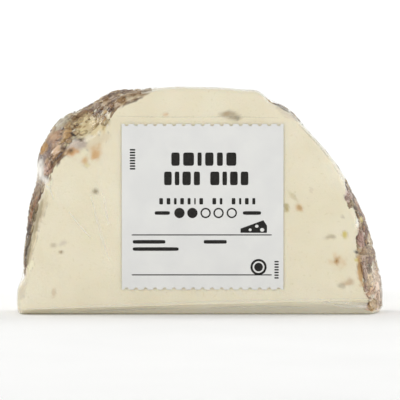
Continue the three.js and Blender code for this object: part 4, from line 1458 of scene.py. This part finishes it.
# Painted shade from the kernel's dark value, in its folds and at its foot
dark = add_node(tree, "Attribute", {}, attribute_name="dark").outputs["Fac"]
shade = add_node(tree, "Math", {0: dark, 1: 0.75}, operation="MULTIPLY").outputs["Value"]
lines = cracks(tree, lengthways, 1.5, 0.07)
on_skin = add_node(
    tree, "MapRange", {"Value": amount, "To Min": 0.7, "To Max": 0.35}).outputs["Result"]
line_shade = add_node(tree, "Math", {0: lines, 1: on_skin}, operation="MULTIPLY").outputs["Value"]
colour = tone
for cover, laid, blend in [
        (amount, flesh, "MIX"),
        (grain(tree, own, 2.6, 2, 0.45, 0.62, 0.5), "#f0d9b8", "MULTIPLY"),
        (grain(tree, lengthways, 1.1, 3, 0.5, 0.66, 0.6), "#a8917c", "MULTIPLY"),
        (grain(tree, lengthways, 0.8, 2, 0.58, 0.72, 0.3), "#dcc7a0", "MIX"),
        (shade, "#8d735c", "MULTIPLY"),
        (line_shade, "#806850", "MULTIPLY")]:
    colour = add_node(
        tree, "Mix", {0: cover, 6: colour, 7: laid}, data_type="RGBA", blend_type=blend).outputs[2]
relief = grain(tree, own, 0.45, 4, 0.2, 0.8)
relief = add_node(tree, "Math", {0: relief, 1: lines}, operation="SUBTRACT").outputs["Value"]
bump = add_node(tree, "Bump", {"Height": relief, "Strength": 0.6, "Distance": 0.3 * MM})
shader = add_node(tree, "BsdfPrincipled", {
    "Base Color": colour,
    "Roughness": 0.6,
    "IOR": 1.47,
    "Specular IOR Level": 0.3,
    "Normal": bump.outputs["Normal"],
})
add_node(tree, "OutputMaterial", {"Surface": shader.outputs["BSDF"]})
for piece in walnut_pieces:
    piece.data.materials.append(walnut_material)
print(walnut_material.name, len(tree.nodes), "nodes on", len(walnut_pieces), "pieces")

# %% [markdown]
# Clear film is hardly there: light goes straight through it, and only glints show it, brighter where
# it is seen edge-on. So it is a mix of a transparent shader and a mirror-like one, by how it faces the
# eye. A glass shader would bend the light, which so thin a film doesn't. Where it is creased or lies in
# gathers it scatters light, and there a white diffuse shader takes over; the same white paints a few
# glints as painted highlights.

# %% Film material
# Food wrap, a clear stretch film about 0.01 mm thick: mirror-like glints, milky in its creases and
# gathers, and white where a glint is painted
film_material, tree, places = start_material("stretch_film")
milk_and_glint_share = add_node(tree, "Attribute", {}, attribute_name="milk_and_glint").outputs["Fac"]
relief = grain(tree, places, 5, 3, 0.2, 0.8)
bump = add_node(tree, "Bump", {"Height": relief, "Strength": 0.25, "Distance": 0.5 * MM})
clear = add_node(tree, "BsdfTransparent", {"Color": (0.985, 0.985, 0.98, 1)}).outputs["BSDF"]
gloss = add_node(
    tree, "BsdfGlossy", {"Roughness": 0.08, "Normal": bump.outputs["Normal"]}).outputs["BSDF"]
white = add_node(tree, "BsdfDiffuse", {"Color": "#fdfaf2"}).outputs["BSDF"]
facing = add_node(tree, "LayerWeight", {"Blend": 0.5, "Normal": bump.outputs["Normal"]}).outputs["Facing"]
edge_on = add_node(tree, "Math", {0: facing, 1: 14.0}, operation="POWER").outputs["Value"]
shine = add_node(tree, "Math", {0: edge_on, 1: 0.75, 2: 0.03}, operation="MULTIPLY_ADD").outputs["Value"]
coated = add_node(tree, "MixShader", {0: shine, 1: clear, 2: gloss}).outputs["Shader"]
shader = add_node(tree, "MixShader", {0: milk_and_glint_share, 1: coated, 2: white})
add_node(tree, "OutputMaterial", {"Surface": shader.outputs["Shader"]})
# Milky film scatters light onwards and hardly shades what it covers
for piece in (film, creases):
    piece.data.materials.append(film_material)
    piece.visible_shadow = False
print(film_material.name, len(tree.nodes), "nodes")

# %% [markdown]
# Label paper is nearly flat and nearly white, but not quite: faint clouds in the coating and a fine
# tooth keep it from looking like plastic. The ink lies on top of it as solid pads, so it needs no mask,
# only its own near-black and a slightly duller gloss.

# %% Paper material
# Thermal label paper, coated and calendered: cool white, very smooth, with a soft sheen
paper_material, tree, places = start_material("label_paper")
clouds = grain(tree, places, 9, 2, 0.35, 0.65)
white = add_node(tree, "Mix", {0: clouds, 6: "#e1e1df", 7: "#e6e6e3"}, data_type="RGBA").outputs[2]
relief = grain(tree, places, 0.35, 3, 0.2, 0.8)
bump = add_node(tree, "Bump", {"Height": relief, "Strength": 0.05, "Distance": 0.05 * MM})
shader = add_node(tree, "BsdfPrincipled", {
    "Base Color": white, "Roughness": 0.45, "IOR": 1.5, "Normal": bump.outputs["Normal"]})
add_node(tree, "OutputMaterial", {"Surface": shader.outputs["BSDF"]})
for piece in (label, *paper_pieces):
    piece.data.materials.append(paper_material)
print(paper_material.name, len(tree.nodes), "nodes")

# %% Ink material
# Black offset ink, a thin dry layer: nearly black and a little patchy, with less shine than the paper
ink_material, tree, places = start_material("black_ink")
spread = grain(tree, places, 0.8, 2, 0.35, 0.65)
black = add_node(tree, "Mix", {0: spread, 6: "#171613", 7: "#24221f"}, data_type="RGBA").outputs[2]
shader = add_node(tree, "BsdfPrincipled", {
    "Base Color": black, "Roughness": 0.5, "IOR": 1.5, "Specular IOR Level": 0.25})
add_node(tree, "OutputMaterial", {"Surface": shader.outputs["BSDF"]})
for piece in ink_pieces:
    piece.data.materials.append(ink_material)
print(ink_material.name, len(tree.nodes), "nodes")

# %% [markdown]
# ## Studio
# The slice stands on a pale sweep: a floor that curves up into a wall behind, so that no horizon
# shows. The light is soft and nearly even, with the larger part from the front.

# %% Floor
def sweep_points(columns, rows):
    """A floor running back into a quarter circle and then a wall, as a grid of points in metres."""
    across = np.linspace(-2, 2, columns)[None, :]
    back, radius = 0.8, 0.4
    turn = np.linspace(0, math.pi / 2, rows)
    y = np.concatenate([[-2.5], back + radius * np.sin(turn), [back + radius]])[:, None]
    z = np.concatenate([[0], radius - radius * np.cos(turn), [2.2]])[:, None]
    return np.stack(np.broadcast_arrays(across, y, z), axis=-1)


points = sweep_points(5, 25)
rows, columns, _ = points.shape
index = np.arange(rows * columns).reshape(rows, columns)
quads = np.stack([index[:-1, :-1], index[:-1, 1:], index[1:, 1:], index[1:, :-1]], -1).reshape(-1, 4)
mesh = bpy.data.meshes.new("studio_sweep")
mesh.from_pydata(points.reshape(-1, 3), [], quads.tolist())
mesh.shade_smooth()
floor = bpy.data.objects.new("studio_sweep", mesh)
bpy.context.scene.collection.objects.link(floor)
# Photographer's background paper, matt and white
backdrop_material, tree, places = start_material("background_paper")
clouds = grain(tree, places, 60, 2, 0.3, 0.7)
pale = add_node(tree, "Mix", {0: clouds, 6: "#f8f8f7", 7: "#fbfbfa"}, data_type="RGBA").outputs[2]
shader = add_node(tree, "BsdfDiffuse", {"Color": pale})
add_node(tree, "OutputMaterial", {"Surface": shader.outputs["BSDF"]})
floor.data.materials.append(backdrop_material)

# %% Light
world = bpy.data.worlds.new("studio_air")
world.use_nodes = True
world.node_tree.nodes.clear()
# The air lights the slice a little less than it shows itself, so the picture stays white around it
air = add_node(world.node_tree, "Background", {"Color": (1, 1, 1, 1), "Strength": 0.54})
seen = add_node(world.node_tree, "Background", {"Color": (1, 1, 1, 1), "Strength": 1.0})
ray = add_node(world.node_tree, "LightPath", {}).outputs["Is Camera Ray"]
both = add_node(world.node_tree, "MixShader", {
    0: ray, 1: air.outputs["Background"], 2: seen.outputs["Background"]})
add_node(world.node_tree, "OutputWorld", {"Surface": both.outputs["Shader"]})
bpy.context.scene.world = world
bpy.context.scene.view_settings.view_transform = "Standard"


def add_softbox(name, place, aim, size, power):
    """A square area light at place, turned to aim, in metres and watts."""
    light = bpy.data.lights.new(name, "AREA")
    light.size = size
    light.energy = power
    lamp = bpy.data.objects.new(name, light)
    lamp.location = place
    lamp.rotation_mode = "QUATERNION"
    lamp.rotation_quaternion = (Vector(aim) - Vector(place)).to_track_quat("-Z", "Y")
    bpy.context.scene.collection.objects.link(lamp)


add_softbox("key_softbox", (-0.7, -1.0, 0.6), (0, 0, 0.04), 0.7, 3.8)
add_softbox("fill_softbox", (0.8, -0.8, 0.25), (0, 0, 0.04), 0.7, 2.15)
add_softbox("background_light_left", (-1.2, 0.5, 0.9), (0.2, 1.2, 0.3), 0.8, 9)
add_softbox("background_light_right", (1.2, 0.5, 0.9), (-0.2, 1.2, 0.3), 0.8, 9)

# %% Camera
# The photograph is straight on from a few metres away, so a long lens stands far back
LENS = 250.0
SEEN_WIDTH = 0.1341
SEEN_DEPTH = FACE_Y + 0.0075
ELEVATION = math.radians(1.6)
AIM_LEFT = 0.00007
AIM_HEIGHT = 0.0381
camera_data = bpy.data.cameras.new("camera")
camera_data.lens = LENS
camera = bpy.data.objects.new("camera", camera_data)
aim = Vector((MIDDLE_X - AIM_LEFT, SEEN_DEPTH, AIM_HEIGHT))
away = SEEN_WIDTH * LENS / camera_data.sensor_width
camera.location = aim + Vector((0, -math.cos(ELEVATION), math.sin(ELEVATION))) * away
camera.rotation_mode = "QUATERNION"
camera.rotation_quaternion = (aim - camera.location).to_track_quat("-Z", "Y")
camera_data.clip_end = 20
bpy.context.scene.collection.objects.link(camera)
bpy.context.scene.camera = camera
print("camera stands", round(away, 3), "m from the cut face")
